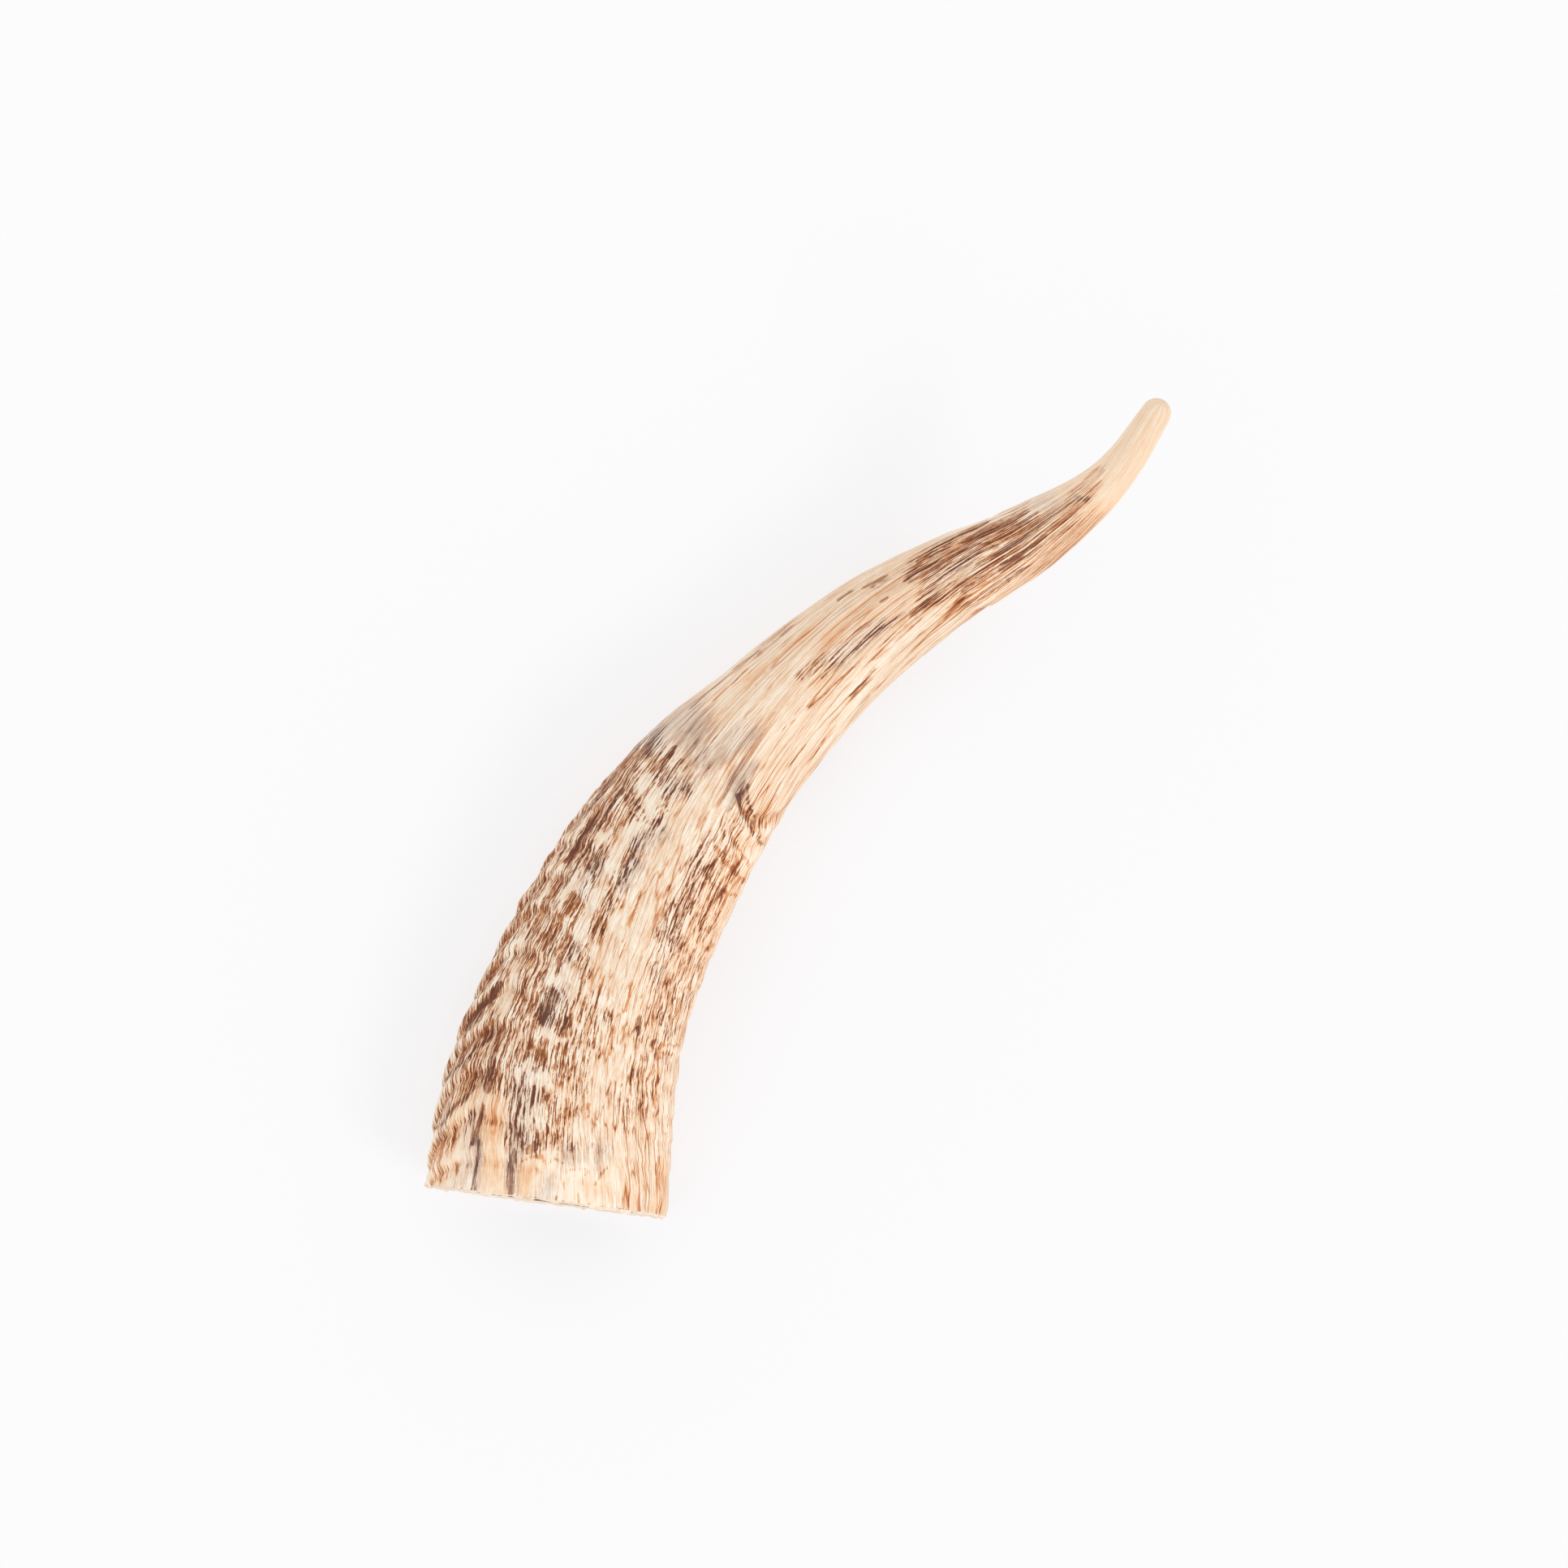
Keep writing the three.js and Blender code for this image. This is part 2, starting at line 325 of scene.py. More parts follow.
def swelling_relief(angle, along):
    broad = SWELLING_BROAD * np.sin(2 * angle + along / SWELLING_BROAD_TURN)
    broad = broad * np.sin(along / SWELLING_BROAD_LENGTH + 1)
    fine = SWELLING_FINE * np.sin(3 * angle - along / SWELLING_FINE_TURN)
    return (broad + fine) * smoothstep(TIP_ALONG - along, *SWELLING_FADE)


def fibre_radius(along):
    """Fibres come to an end among the rings, and past them they all run on to the tip."""
    return FIBRE_RADIUS - FIBRE_NARROWING * smoothstep(along, *FIBRES_NARROW)


def weathered_relief(angle, along, radius):
    """The split fibres and flaked layers that are too fine for the solid."""
    place = around_horn(angle, along, fibre_radius(along))
    fine_ring = np.sin(FINE_RINGS * math.tau * ring_place(angle, along, radius))
    keel = keel_share(angle) ** 2
    rings = FINE_RING_HEIGHT * fine_ring * keel * (1 - smoothstep(along, *RINGS_FADE))
    smoother_tip = 1 - TIP_SMOOTHNESS * smoothstep(along, *TIP_SMOOTHS)
    return (uneven(place, *SPLIT_FIBRES) + rings) * smoother_tip


def relief(angle, along, radius):
    return (
        ring_relief(angle, along, radius)
        + furrow_relief(angle, along, radius)
        + crease_relief(angle, along)
        + waist_relief(angle, along)
        + ledge_relief(angle, along)
        + swelling_relief(angle, along)
        + weathered_relief(angle, along, radius)
    )


def flattened(height, thick, along):
    limit = -UNDERSIDE_FROM * thick
    share = 1 - smoothstep(along, *UNDERSIDE_FADE)
    crown = 1 + (UNDERSIDE_CROWN - 1) * share
    return np.where(height < limit, limit + (height - limit) * crown, height)


def cross_place(angle, along, share, wall, raised):
    """Where a point lies beside and above the axis, as seen from above."""
    wide, thick, twist = section_at(along)
    pinch = 1 - KEEL_PINCH * (1 - along / TIP_ALONG) * np.cos(angle)
    right = -(share * (wide - wall) + raised) * np.cos(angle)
    up = (share * (thick - wall) + raised) * np.sin(angle) * pinch
    up = flattened(up, thick, along)
    sideways = right * np.cos(twist) - up * np.sin(twist)
    upwards = right * np.sin(twist) + up * np.cos(twist)
    return sideways, upwards


def bend(along, sideways, upwards):
    """The place of points beside the axis, in millimetres from the horn's origin."""
    centre, forward = along_stations(AXIS, along)
    forward = forward / np.linalg.norm(forward, axis=1, keepdims=True)
    rightward = np.stack([forward[:, 1], -forward[:, 0], np.zeros(len(forward))], axis=1)
    rightward /= np.linalg.norm(rightward, axis=1, keepdims=True)
    upward = np.cross(rightward, forward)
    return SAWN_END + centre + rightward * sideways[:, None] + upward * upwards[:, None]


def mean_radius(along):
    wide, thick, _ = section_at(along)
    return (wide + thick) / 2


def skin_places(angle, along, share):
    raised = share * relief(angle, along, mean_radius(along))
    return bend(along, *cross_place(angle, along, share, 0, raised))


def hollow_places(angle, along, share):
    rough = uneven(around_horn(angle, along, HOLLOW_RADIUS), *HOLLOW_ROUGHNESS)
    return bend(along, *cross_place(angle, along, share, WALL, share * rough))


def on_cut(places_at, angle):
    """How far along the horn its surface meets the saw cut, at each angle. Each round halves
    the stretch that it is looked for in."""
    centre = SAWN_END + AXIS[1]
    low = np.full(len(angle), -CUT_REACH)
    high = np.full(len(angle), CUT_REACH)
    for _ in range(CUT_HALVINGS):
        middle = (low + high) / 2
        beyond = (places_at(angle, middle, 1) - centre) @ CUT_OUTWARD > 0
        low = np.where(beyond, middle, low)
        high = np.where(beyond, high, middle)
    return (low + high) / 2


class Mark(NamedTuple):
    """A stain or a split that follows a line. Each point of the path is a distance along the
    horn in millimetres, and a share of its half width as seen from above, -1 at the keel's edge."""

    strength: float
    half: float
    path: list
    # Less than 1 where the mark is drawn out along the fibres.
    drawn: float = 0.75


# Broad brown weathering of the keel side, and the bands of it that cross the crown.
WASHES = [
    Mark(0.32, 5.0, [(10, -0.95), (20, -0.92)]),
    Mark(0.78, 5.0, [(28, -0.92), (50, -0.92), (70, -0.92), (88, -0.92)]),
    Mark(0.62, 5.0, [(28, -0.5), (40, -0.5), (60, -0.55), (86, -0.6)]),
    Mark(0.48, 3.6, [(22, -0.25), (30, -0.25), (50, -0.3), (75, -0.35), (88, -0.4)]),
    Mark(0.24, 5.0, [(25, 0.7), (40, 0.75), (70, 0.7), (88, 0.6)]),
    Mark(0.32, 4.0, [(16, 0.05), (30, 0.1), (42, 0.1)]),
    Mark(0.7, 2.6, [(158, -0.5), (172, -0.45), (188, -0.4)]),
    Mark(0.6, 2.4, [(158, 0.1), (175, 0.1), (190, 0)]),
    Mark(0.32, 2.0, [(163, 0.75), (180, 0.72), (193, 0.6)]),
]
BROWN = [
    Mark(0.8, 1.3, [(6, -0.96), (11, -0.87)]),
    Mark(0.7, 0.9, [(13, -0.95), (18, -0.84), (22, -0.74)]),
    Mark(0.6, 0.8, [(21, -0.96), (27, -0.84), (31, -0.73)]),
    Mark(1, 1.7, [(29.5, -0.95), (35, -0.9), (41, -0.8)]),
    Mark(0.9, 1.2, [(41.5, -0.95), (47.5, -0.86)]),
    Mark(0.85, 0.9, [(47.5, -0.95), (54.5, -0.89)]),
    Mark(0.7, 0.5, [(55, -0.95), (75, -0.91)]),
    Mark(0.9, 0.8, [(31, -0.63), (37, -0.62)]),
    Mark(0.4, 2.6, [(13, -0.27), (25, -0.29)]),
    Mark(0.75, 1.0, [(18, -0.33), (24, -0.35)]),
    Mark(0.75, 1.6, [(16.5, -0.02), (21.5, -0.05)]),
    Mark(0.45, 1.2, [(12, -0.05), (17, -0.12)]),
    Mark(0.8, 2.4, [(28.8, -0.3), (32, -0.22)]),
    Mark(0.95, 0.9, [(28.5, -0.37), (35.5, -0.38)]),
    Mark(0.85, 1.7, [(28, -0.1), (32.5, -0.1)]),
    Mark(0.95, 1.2, [(37, -0.1), (39.5, -0.12)]),
    Mark(0.85, 0.9, [(42, -0.32), (44, -0.33)]),
    Mark(0.6, 2.2, [(38, -0.3), (41, -0.2)]),
    Mark(1, 0.9, [(47.5, -0.38), (53, -0.38)]),
    Mark(1, 1.2, [(49, -0.53), (53.5, -0.53)]),
    Mark(0.6, 1.5, [(45, -0.1), (48.5, -0.11)]),
    Mark(0.9, 1.3, [(55.5, -0.56), (60.5, -0.56)]),
    Mark(0.75, 1.6, [(56, -0.42), (61, -0.42)]),
    Mark(0.6, 1.9, [(64.5, -0.5), (68.5, -0.48)]),
    Mark(1, 0.8, [(70.3, -0.56), (71.3, -0.45)], 1),
    Mark(0.7, 0.8, [(60.5, -0.23), (62.5, -0.24)]),
    Mark(0.85, 1.0, [(68.5, -0.23), (72.5, -0.23)]),
    Mark(0.9, 0.6, [(49, -0.72), (55.5, -0.74)]),
    Mark(1, 1.3, [(57, -0.76), (66, -0.8), (75.5, -0.78)]),
    Mark(0.9, 0.8, [(77, -0.83), (85, -0.84)]),
    Mark(0.95, 1.9, [(88.5, -0.9), (92, -0.82)]),
    Mark(0.8, 1.3, [(89, -0.7), (91, -0.63)]),
    Mark(0.95, 1.5, [(76, -0.65), (79, -0.5)], 0.8),
    Mark(1, 0.8, [(80.5, -0.28), (81.5, -0.15)], 1),
    Mark(0.3, 1.8, [(88, -0.3), (90, -0.15)]),
    Mark(0.28, 2.6, [(57, 0.58), (66, 0.48), (75, 0.45), (83, 0.47)]),
    Mark(0.28, 1.4, [(63, 0.63), (75, 0.61)]),
    Mark(0.25, 0.6, [(101, -0.29), (97, -0.24), (95, -0.16), (96.5, -0.08)], 1),
    Mark(0.6, 0.5, [(127, 0.1), (133, 0.1)]),
    Mark(0.55, 1.2, [(132, 0.09), (143.5, 0.06)]),
    Mark(0.5, 1.1, [(123, -0.1), (130.5, -0.07)]),
    Mark(0.35, 1.6, [(120, -0.86), (128, -0.9)]),
    Mark(0.95, 1.5, [(180.5, -0.47), (185.5, -0.55)]),
    Mark(0.4, 1.2, [(160, -0.14), (166.5, -0.13)]),
    Mark(0.8, 1.2, [(169, 0.03), (174.5, 0.08)]),
    Mark(0.6, 1.0, [(186, -0.05), (187.5, 0.2), (188.5, 0.4)]),
    Mark(0.5, 1.0, [(188, 0.2), (193, 0.12)]),
    Mark(0.8, 0.6, [(187, -0.35), (194, -0.5), (201, -0.65)]),
    Mark(0.9, 0.7, [(190, -0.2), (196, -0.35), (202, -0.5)]),
    Mark(1, 1.1, [(193, 0), (196, -0.2), (200, -0.4)]),
    Mark(0.95, 1.3, [(194.5, -0.35), (195.5, 0)]),
    Mark(0.8, 0.8, [(198, -0.6), (201, -0.65)]),
]
DARK = [
    Mark(0.7, 0.5, [(0.9, -0.57), (5, -0.6), (9, -0.57), (12, -0.6)]),
    Mark(0.8, 0.45, [(11.5, -0.63), (18, -0.6)]),
    Mark(0.75, 1.0, [(21.5, -0.6), (26.5, -0.62)]),
    Mark(0.45, 1.1, [(1.3, -0.26), (6, -0.29), (10.5, -0.28)]),
    Mark(0.4, 1.1, [(11, -0.16), (12.5, -0.1)]),
    Mark(0.8, 0.35, [(14, -0.93), (18, -0.8), (21, -0.7)]),
    Mark(0.7, 0.35, [(21, -0.97), (26, -0.84), (31, -0.7)]),
    Mark(0.6, 1.1, [(31, -0.93), (39.5, -0.82)]),
    Mark(0.7, 1.8, [(38.3, -0.33), (41.5, -0.28)]),
    Mark(0.5, 0.9, [(37.2, -0.1), (39, -0.11)]),
    Mark(0.5, 0.6, [(49, -0.52), (53, -0.53)]),
    Mark(0.9, 0.35, [(61, -0.68), (68, -0.67), (75, -0.7), (84, -0.74), (88, -0.78)]),
    Mark(0.6, 0.8, [(66, -0.8), (75, -0.78)]),
    Mark(0.8, 0.28, [(61, -0.87), (72, -0.9), (85, -0.9)]),
    Mark(0.7, 0.3, [(60, -0.14), (68, -0.19), (75, -0.24)]),
    Mark(0.9, 0.35, [(82, -0.495), (86, -0.48), (90, -0.53), (94.5, -0.57)]),
    Mark(0.8, 0.35, [(81.5, -0.53), (81.8, -0.38)], 1),
    Mark(0.7, 0.35, [(79.5, -0.5), (79.8, -0.38)], 1),
    Mark(0.5, 0.25, [(81.5, -0.62), (85, -0.625)]),
    Mark(0.7, 0.35, [(83.3, -0.28), (84.6, -0.22), (83.8, -0.15)], 1),
    Mark(0.6, 0.4, [(81, -0.26), (81.5, -0.17)], 1),
    Mark(0.9, 0.5, [(41, 0.57), (44.5, 0.55)]),
    Mark(1, 0.36, [(94.5, 0.4), (92.2, 0.54), (91.2, 0.68), (90.3, 0.82), (89.5, 0.95)], 1),
    Mark(0.8, 0.28, [(97.5, 0.42), (94.6, 0.56), (93, 0.7)], 1),
    Mark(0.7, 0.3, [(102, -0.8), (108, -0.82), (114.5, -0.84)]),
    Mark(0.7, 0.35, [(113.5, -0.86), (120, -0.84)]),
    Mark(0.9, 0.5, [(138.8, -0.75), (141.7, -0.76)]),
    Mark(1, 0.5, [(144.9, -0.7), (149.7, -0.7)]),
    Mark(0.6, 0.3, [(146, -0.66), (147.5, -0.57), (150, -0.62), (147.5, -0.65)]),
    Mark(0.5, 0.25, [(150, -0.62), (153, -0.65), (157, -0.7)]),
    Mark(0.8, 0.5, [(160.5, -0.66), (164.5, -0.66)]),
    Mark(0.7, 0.35, [(163.5, -0.8), (165.3, -0.81)]),
    Mark(1, 0.55, [(167.4, -0.85), (173.8, -0.88)]),
    Mark(0.9, 0.45, [(167.5, -0.61), (173, -0.63), (178, -0.66), (184, -0.71)]),
    Mark(1, 0.65, [(173.4, -0.62), (180.6, -0.62)]),
    Mark(0.8, 0.4, [(164, -0.45), (171, -0.45), (174.3, -0.37)]),
    Mark(0.6, 0.6, [(181, -0.48), (186, -0.55)]),
    Mark(0.8, 0.4, [(153, -0.43), (161.5, -0.47)]),
    Mark(0.6, 0.3, [(161.3, -0.5), (161.3, -0.4)], 1),
    Mark(0.7, 0.45, [(146.6, -0.32), (148.2, -0.31)]),
    Mark(0.85, 0.45, [(164.8, -0.22), (170, -0.24), (174.4, -0.26)]),
    Mark(1, 0.6, [(170.5, -0.27), (175, -0.2)]),
    Mark(0.95, 0.5, [(169, 0), (176.5, -0.04), (182, -0.12), (187, -0.2), (193, -0.28)]),
    Mark(0.7, 0.5, [(179, -0.1), (185, -0.15)]),
    Mark(0.8, 0.42, [(126, 0.14), (135, 0.13), (143, 0.12), (157, 0.16)]),
    Mark(0.7, 0.3, [(158.5, 0.14), (171, 0.08)]),
    Mark(0.95, 0.5, [(151, 0.25), (156, 0.22), (159.4, 0.18)]),
    Mark(0.7, 0.5, [(154, 0.18), (158.5, 0.2)]),
    Mark(1, 0.55, [(174.2, 0.3), (180, 0.26), (184.7, 0.23)]),
    Mark(1, 0.55, [(173, 0.42), (178.7, 0.39)]),
    Mark(0.6, 0.4, [(176, 0.44), (182.5, 0.43)]),
    Mark(0.9, 0.45, [(173.7, 0.64), (177.8, 0.65)]),
    Mark(0.6, 0.35, [(173.7, 0.66), (172.8, 0.8)], 1),
    Mark(0.6, 0.5, [(128.5, 0.67), (133, 0.66), (137, 0.62)]),
    Mark(0.5, 0.9, [(194.5, -0.35), (195.5, 0)]),
]
GREY = [
    Mark(1, 0.9, [(0.9, -0.57), (5, -0.6), (9, -0.57), (12, -0.6)]),
    Mark(0.9, 1.2, [(1.3, -0.26), (6, -0.29), (10.5, -0.28)]),
    Mark(0.7, 1.3, [(3, -0.72), (8, -0.66)]),
    Mark(0.6, 1.2, [(8, -0.64), (15, -0.68)]),
    Mark(1, 2.0, [(0.8, 0), (3.2, 0.03)]),
    Mark(0.7, 1.3, [(9.5, 0.15), (12.5, 0.2)]),
    Mark(0.7, 1.7, [(10, 0.42), (12.5, 0.45)]),
    Mark(0.5, 1.1, [(10.3, 0.25), (12.5, 0.33)]),
    Mark(0.55, 2.6, [(12, -0.24), (25, -0.28)]),
    Mark(0.7, 2.0, [(38.5, -0.28), (42.5, -0.25)]),
    Mark(0.5, 1.2, [(49, -0.3), (52, -0.28)]),
    Mark(0.6, 1.9, [(64.5, -0.5), (68.5, -0.48)]),
    Mark(0.9, 1.6, [(68.5, -0.13), (72, -0.14)]),
    Mark(0.8, 1.8, [(76.5, -0.22), (79.5, -0.1)]),
    Mark(0.7, 2.0, [(88.5, -0.3), (91, -0.15)]),
    Mark(0.25, 2.6, [(57, 0.58), (66, 0.48), (75, 0.45), (83, 0.47)]),
    Mark(1, 2.6, [(95, -0.85), (101, -0.75), (98, -0.5)]),
    Mark(0.9, 2.4, [(96, -0.2), (101, -0.1), (104, 0)]),
    Mark(1, 1.8, [(94, 0.35), (99, 0.3)]),
    Mark(0.6, 1.6, [(132, 0.09), (143.5, 0.06)]),
    Mark(0.7, 1.4, [(186.5, -0.75), (190, -0.5)]),
    Mark(0.4, 1.6, [(160, -0.14), (166.5, -0.13)]),
]
WARM = [
    Mark(0.9, 2.3, [(1.5, -0.47), (12, -0.45), (17, -0.5)]),
    Mark(0.8, 1.5, [(2, -0.38), (8, -0.36)]),
    Mark(1, 1.5, [(1.5, -0.15), (9, -0.16)]),
    Mark(0.7, 2.0, [(3, -0.9), (10, -0.8), (17, -0.78)]),
    Mark(0.6, 2.0, [(14, -0.75), (20, -0.78)]),
    Mark(0.25, 3.0, [(2, 0.2), (7, 0.3)]),
    Mark(0.8, 1.2, [(1, 0.92), (10, 0.95)]),
    Mark(0.5, 3.0, [(60, 0.8), (88, 0.8)]),
    Mark(0.5, 2.0, [(75, 0.62), (84, 0.62)]),
    Mark(0.5, 0.8, [(126.7, -0.58), (131, -0.59)]),
    Mark(0.6, 1.2, [(133, -0.27), (136, -0.23)]),
    Mark(0.5, 1.0, [(112, -0.57), (117, -0.6)]),
    Mark(1, 1.6, [(165.5, -0.52), (175, -0.53), (181, -0.5)]),
    Mark(0.8, 4.0, [(166, 0.75), (180, 0.7), (195, 0.55)]),
    Mark(1, 1.8, [(185, 0.75), (196, 0.65)]),
    Mark(0.6, 6.0, [(192, 0), (219, 0)]),
    Mark(0.5, 5.0, [(160, 0), (190, 0)]),
]
RUST = [
    Mark(0.9, 0.32, [(35.5, 0.14), (42, 0.12), (50, 0.07)]),
    Mark(0.6, 0.8, [(18.3, 0.12), (22.8, 0.11)]),
    Mark(0.8, 0.35, [(20.5, 0.31), (23.8, 0.29)]),
    Mark(0.9, 0.35, [(35, 0.36), (40.5, 0.34)]),
    Mark(1, 0.4, [(45, 0.39), (50.5, 0.37)]),
    Mark(0.6, 0.3, [(54.5, 0.14), (58, 0.12)]),
    Mark(0.5, 0.6, [(61.5, 0.09), (67, 0.07)]),
    Mark(0.7, 0.35, [(69, 0.29), (72.2, 0.28)]),
    Mark(0.7, 0.3, [(72.8, 0.15), (76, 0.14)]),
    Mark(1, 0.35, [(25.5, 0.85), (33, 0.83), (38, 0.8), (42, 0.83)]),
    Mark(0.6, 0.5, [(38, 0.8), (38.6, 0.93)], 1),
    Mark(0.7, 0.45, [(40.2, 0.84), (40.6, 0.95)], 1),
    Mark(0.6, 0.4, [(4.5, 0.93), (9, 0.9), (12, 0.92)]),
    Mark(0.8, 0.4, [(53, 0.68), (56, 0.68)]),
    Mark(0.7, 0.3, [(59, 0.69), (64, 0.68)]),
    Mark(0.7, 0.8, [(64, 0.92), (65, 0.95)]),
    Mark(0.8, 0.3, [(45, 0.88), (53, 0.86), (58, 0.9)]),
    Mark(0.8, 0.45, [(78, 0.5), (76.5, 0.75), (77, 0.95)], 1),
    Mark(1, 0.55, [(83.5, 0.5), (82, 0.7), (80.5, 0.95)], 1),
    Mark(0.9, 0.5, [(87, 0.6), (85.2, 0.78), (84.5, 0.93)], 1),
    Mark(0.8, 0.35, [(67, 0.77), (75, 0.78), (82, 0.8)]),
    Mark(0.8, 0.3, [(67, 0.88), (76, 0.87), (81, 0.9)]),
    Mark(0.7, 0.5, [(93, 0.5), (91.8, 0.7), (90.5, 0.9)], 1),
    Mark(0.9, 0.35, [(91, 0.81), (100, 0.81)]),
    Mark(0.9, 0.35, [(109.5, 0.89), (118, 0.88), (122, 0.83)]),
    Mark(0.7, 0.3, [(93, 0.9), (97, 0.91)]),
    Mark(0.8, 0.4, [(121.5, 0.63), (128.5, 0.63)]),
    Mark(0.95, 0.5, [(128.5, 0.67), (133, 0.66), (137, 0.62)]),
    Mark(0.75, 0.5, [(119, 0.33), (125, 0.36), (131, 0.34)]),
    Mark(0.6, 0.35, [(110, 0.3), (114, 0.33)]),
    Mark(0.8, 0.6, [(138, 0.5), (142, 0.49)]),
    Mark(0.6, 0.35, [(137.5, 0.5), (137.5, 0.62)], 1),
    Mark(0.5, 0.35, [(106, 0.69), (112, 0.7)]),
    Mark(0.85, 0.35, [(105.5, -0.67), (110, -0.7), (115, -0.74)]),
    Mark(0.7, 0.35, [(113, -0.45), (114.5, -0.49), (117.5, -0.51)]),
    Mark(0.7, 0.35, [(143.5, 0.12), (151, 0.13)]),
    Mark(0.5, 0.3, [(131, -0.1), (142, -0.12)]),
    Mark(0.8, 0.7, [(157.3, -0.69), (160.7, -0.7)]),
    Mark(0.8, 0.5, [(163.5, 0.5), (169.5, 0.48)]),
    Mark(0.6, 0.4, [(154.7, 0.52), (156.5, 0.6)]),
    Mark(0.8, 0.35, [(138.5, 0.5), (146, 0.45), (152.5, 0.4)]),
    Mark(0.8, 0.6, [(133.5, 0.63), (137.5, 0.62)]),
    Mark(0.7, 0.4, [(147.5, 0.33), (159.8, 0.31)]),
    Mark(0.7, 0.3, [(133.5, 0.37), (147, 0.36)]),
    Mark(0.9, 0.22, [(8.2, 0.2), (8.6, 0.3), (8.1, 0.36), (7.6, 0.33)], 1),
    Mark(0.9, 0.22, [(5.5, 0.42), (7.5, 0.44), (8.6, 0.49), (9.5, 0.5)], 1),
    Mark(0.9, 0.2, [(0.5, 0.3), (3, 0.28), (5.5, 0.31), (8, 0.3)], 1),
    Mark(0.8, 0.22, [(2.6, 0.1), (4, 0.16), (5.5, 0.15)], 1),
    Mark(0.9, 0.26, [(9, -0.2), (10.5, -0.1), (10, -0.03), (8.5, 0)], 1),
    Mark(0.8, 0.2, [(8.5, 0), (10.2, 0.06), (9.6, 0.14), (8.2, 0.2)], 1),
]
PALE = [
    Mark(1, 1.0, [(25, -0.2), (27, -0.12)]),
    Mark(0.8, 0.7, [(25.5, -0.36), (27.5, -0.3)]),
    Mark(1, 1.0, [(34.5, -0.13), (35.5, -0.25)]),
    Mark(1, 1.1, [(45.5, -0.38), (45.5, -0.15)]),
    Mark(1, 1.2, [(61.5, -0.61), (63.5, -0.6)]),
    Mark(1, 1.1, [(37, -0.68), (41, -0.75), (46, -0.83)]),
    Mark(0.9, 0.7, [(48, -0.82), (62, -0.85), (75, -0.87)]),
    Mark(0.9, 1.0, [(54.5, -0.32), (66, -0.36), (80, -0.38)]),
    Mark(0.8, 1.5, [(73.5, -0.6), (74, -0.45)]),
    Mark(0.9, 1.4, [(84, -0.35), (86, -0.55)]),
    Mark(1, 0.3, [(95.5, -0.3), (97.5, -0.45)]),
    Mark(1, 2.2, [(187, -0.7), (189.5, -0.55)]),
    Mark(0.6, 2.5, [(2, 0.1), (7, 0.25)]),
    Mark(0.8, 0.8, [(173, -0.15), (176, -0.17)]),
]


# A mark is full up to the first of these shares of its half width, and gone at the second.
FADE_FROM = 0.3
FADE_TO = 1.9
# The faintest thin mark is this share of its half width. The strongest is this deep, and
# depths are told down to this far outside a mark, both in millimetres.
FAINT_WIDTH = 0.4
DEEPEST = 0.5
OUTSIDE_REACH = 1.0


def near_mark(mark, along, sideways, reach):
    """The points within reach of a mark's line, and how far each of them lies from it."""
    path = np.array(mark.path, float)
    width_there = along_stations(HALF_WIDTH, path[:, 0])[0]
    corners = np.stack([path[:, 0], path[:, 1] * width_there], axis=1)
    margin = reach * np.array([1 / mark.drawn, 1])
    low = corners.min(axis=0) - margin
    high = corners.max(axis=0) + margin
    near = (along > low[0]) & (along < high[0]) & (sideways > low[1]) & (sideways < high[1])
    near = np.flatnonzero(near)
    here = np.stack([along[near], sideways[near]], axis=1)
    distance = np.full(len(near), np.inf)
    for start, end in zip(corners, corners[1:]):
        leg = end - start
        share = np.clip((here - start) @ leg / (leg @ leg), 0, 1)
        gap = (here - start - share[:, None] * leg) * [mark.drawn, 1]
        distance = np.minimum(distance, np.linalg.norm(gap, axis=1))
    return near, distance


def mark_cover(marks, along, sideways):
    """How strongly a kind of mark covers each point, from 0 to 1."""
    cover = np.zeros(len(along))
    for mark in marks:
        near, distance = near_mark(mark, along, sideways, FADE_TO * mark.half)
        fade = 1 - smoothstep(distance / mark.half, FADE_FROM, FADE_TO)
        cover[near] = np.maximum(cover[near], mark.strength * fade)
    return cover


def mark_depth(marks, along, sideways):
    """How far inside a thin mark each point lies, in millimetres, and below 0 outside it."""
    depth = np.full(len(along), -OUTSIDE_REACH)
    for mark in marks:
        edge = mark.half * (FAINT_WIDTH + (1 - FAINT_WIDTH) * mark.strength)
        near, distance = near_mark(mark, along, sideways, edge + OUTSIDE_REACH)
        inside = np.minimum(edge - distance, DEEPEST * mark.strength)
        depth[near] = np.maximum(depth[near], inside)
    return depth


def unit_sheet(name, around, rows):
    bpy.ops.object.select_all(action="DESELECT")
    bpy.ops.mesh.primitive_grid_add(x_subdivisions=around, y_subdivisions=rows, size=2)
    sheet = bpy.context.object
    sheet.name = name
    flat = np.empty(len(sheet.data.vertices) * 3)
    sheet.data.vertices.foreach_get("co", flat)
    shares = (flat.reshape(-1, 3) + 1) / 2
    column = np.rint(shares[:, 0] * around).astype(int)
    row = np.rint(shares[:, 1] * rows).astype(int)
    return sheet, column, row


def place_sheet(sheet, places):
    sheet.data.vertices.foreach_set("co", (places * MM).ravel())
    sheet.data.update()


def set_values(mesh, name, values):
    """Stores three values at each point, for the materials to read."""
    stored = mesh.attributes.new(name, "FLOAT_VECTOR", "POINT")
    stored.data.foreach_set("vector", values.astype(np.float32).ravel())


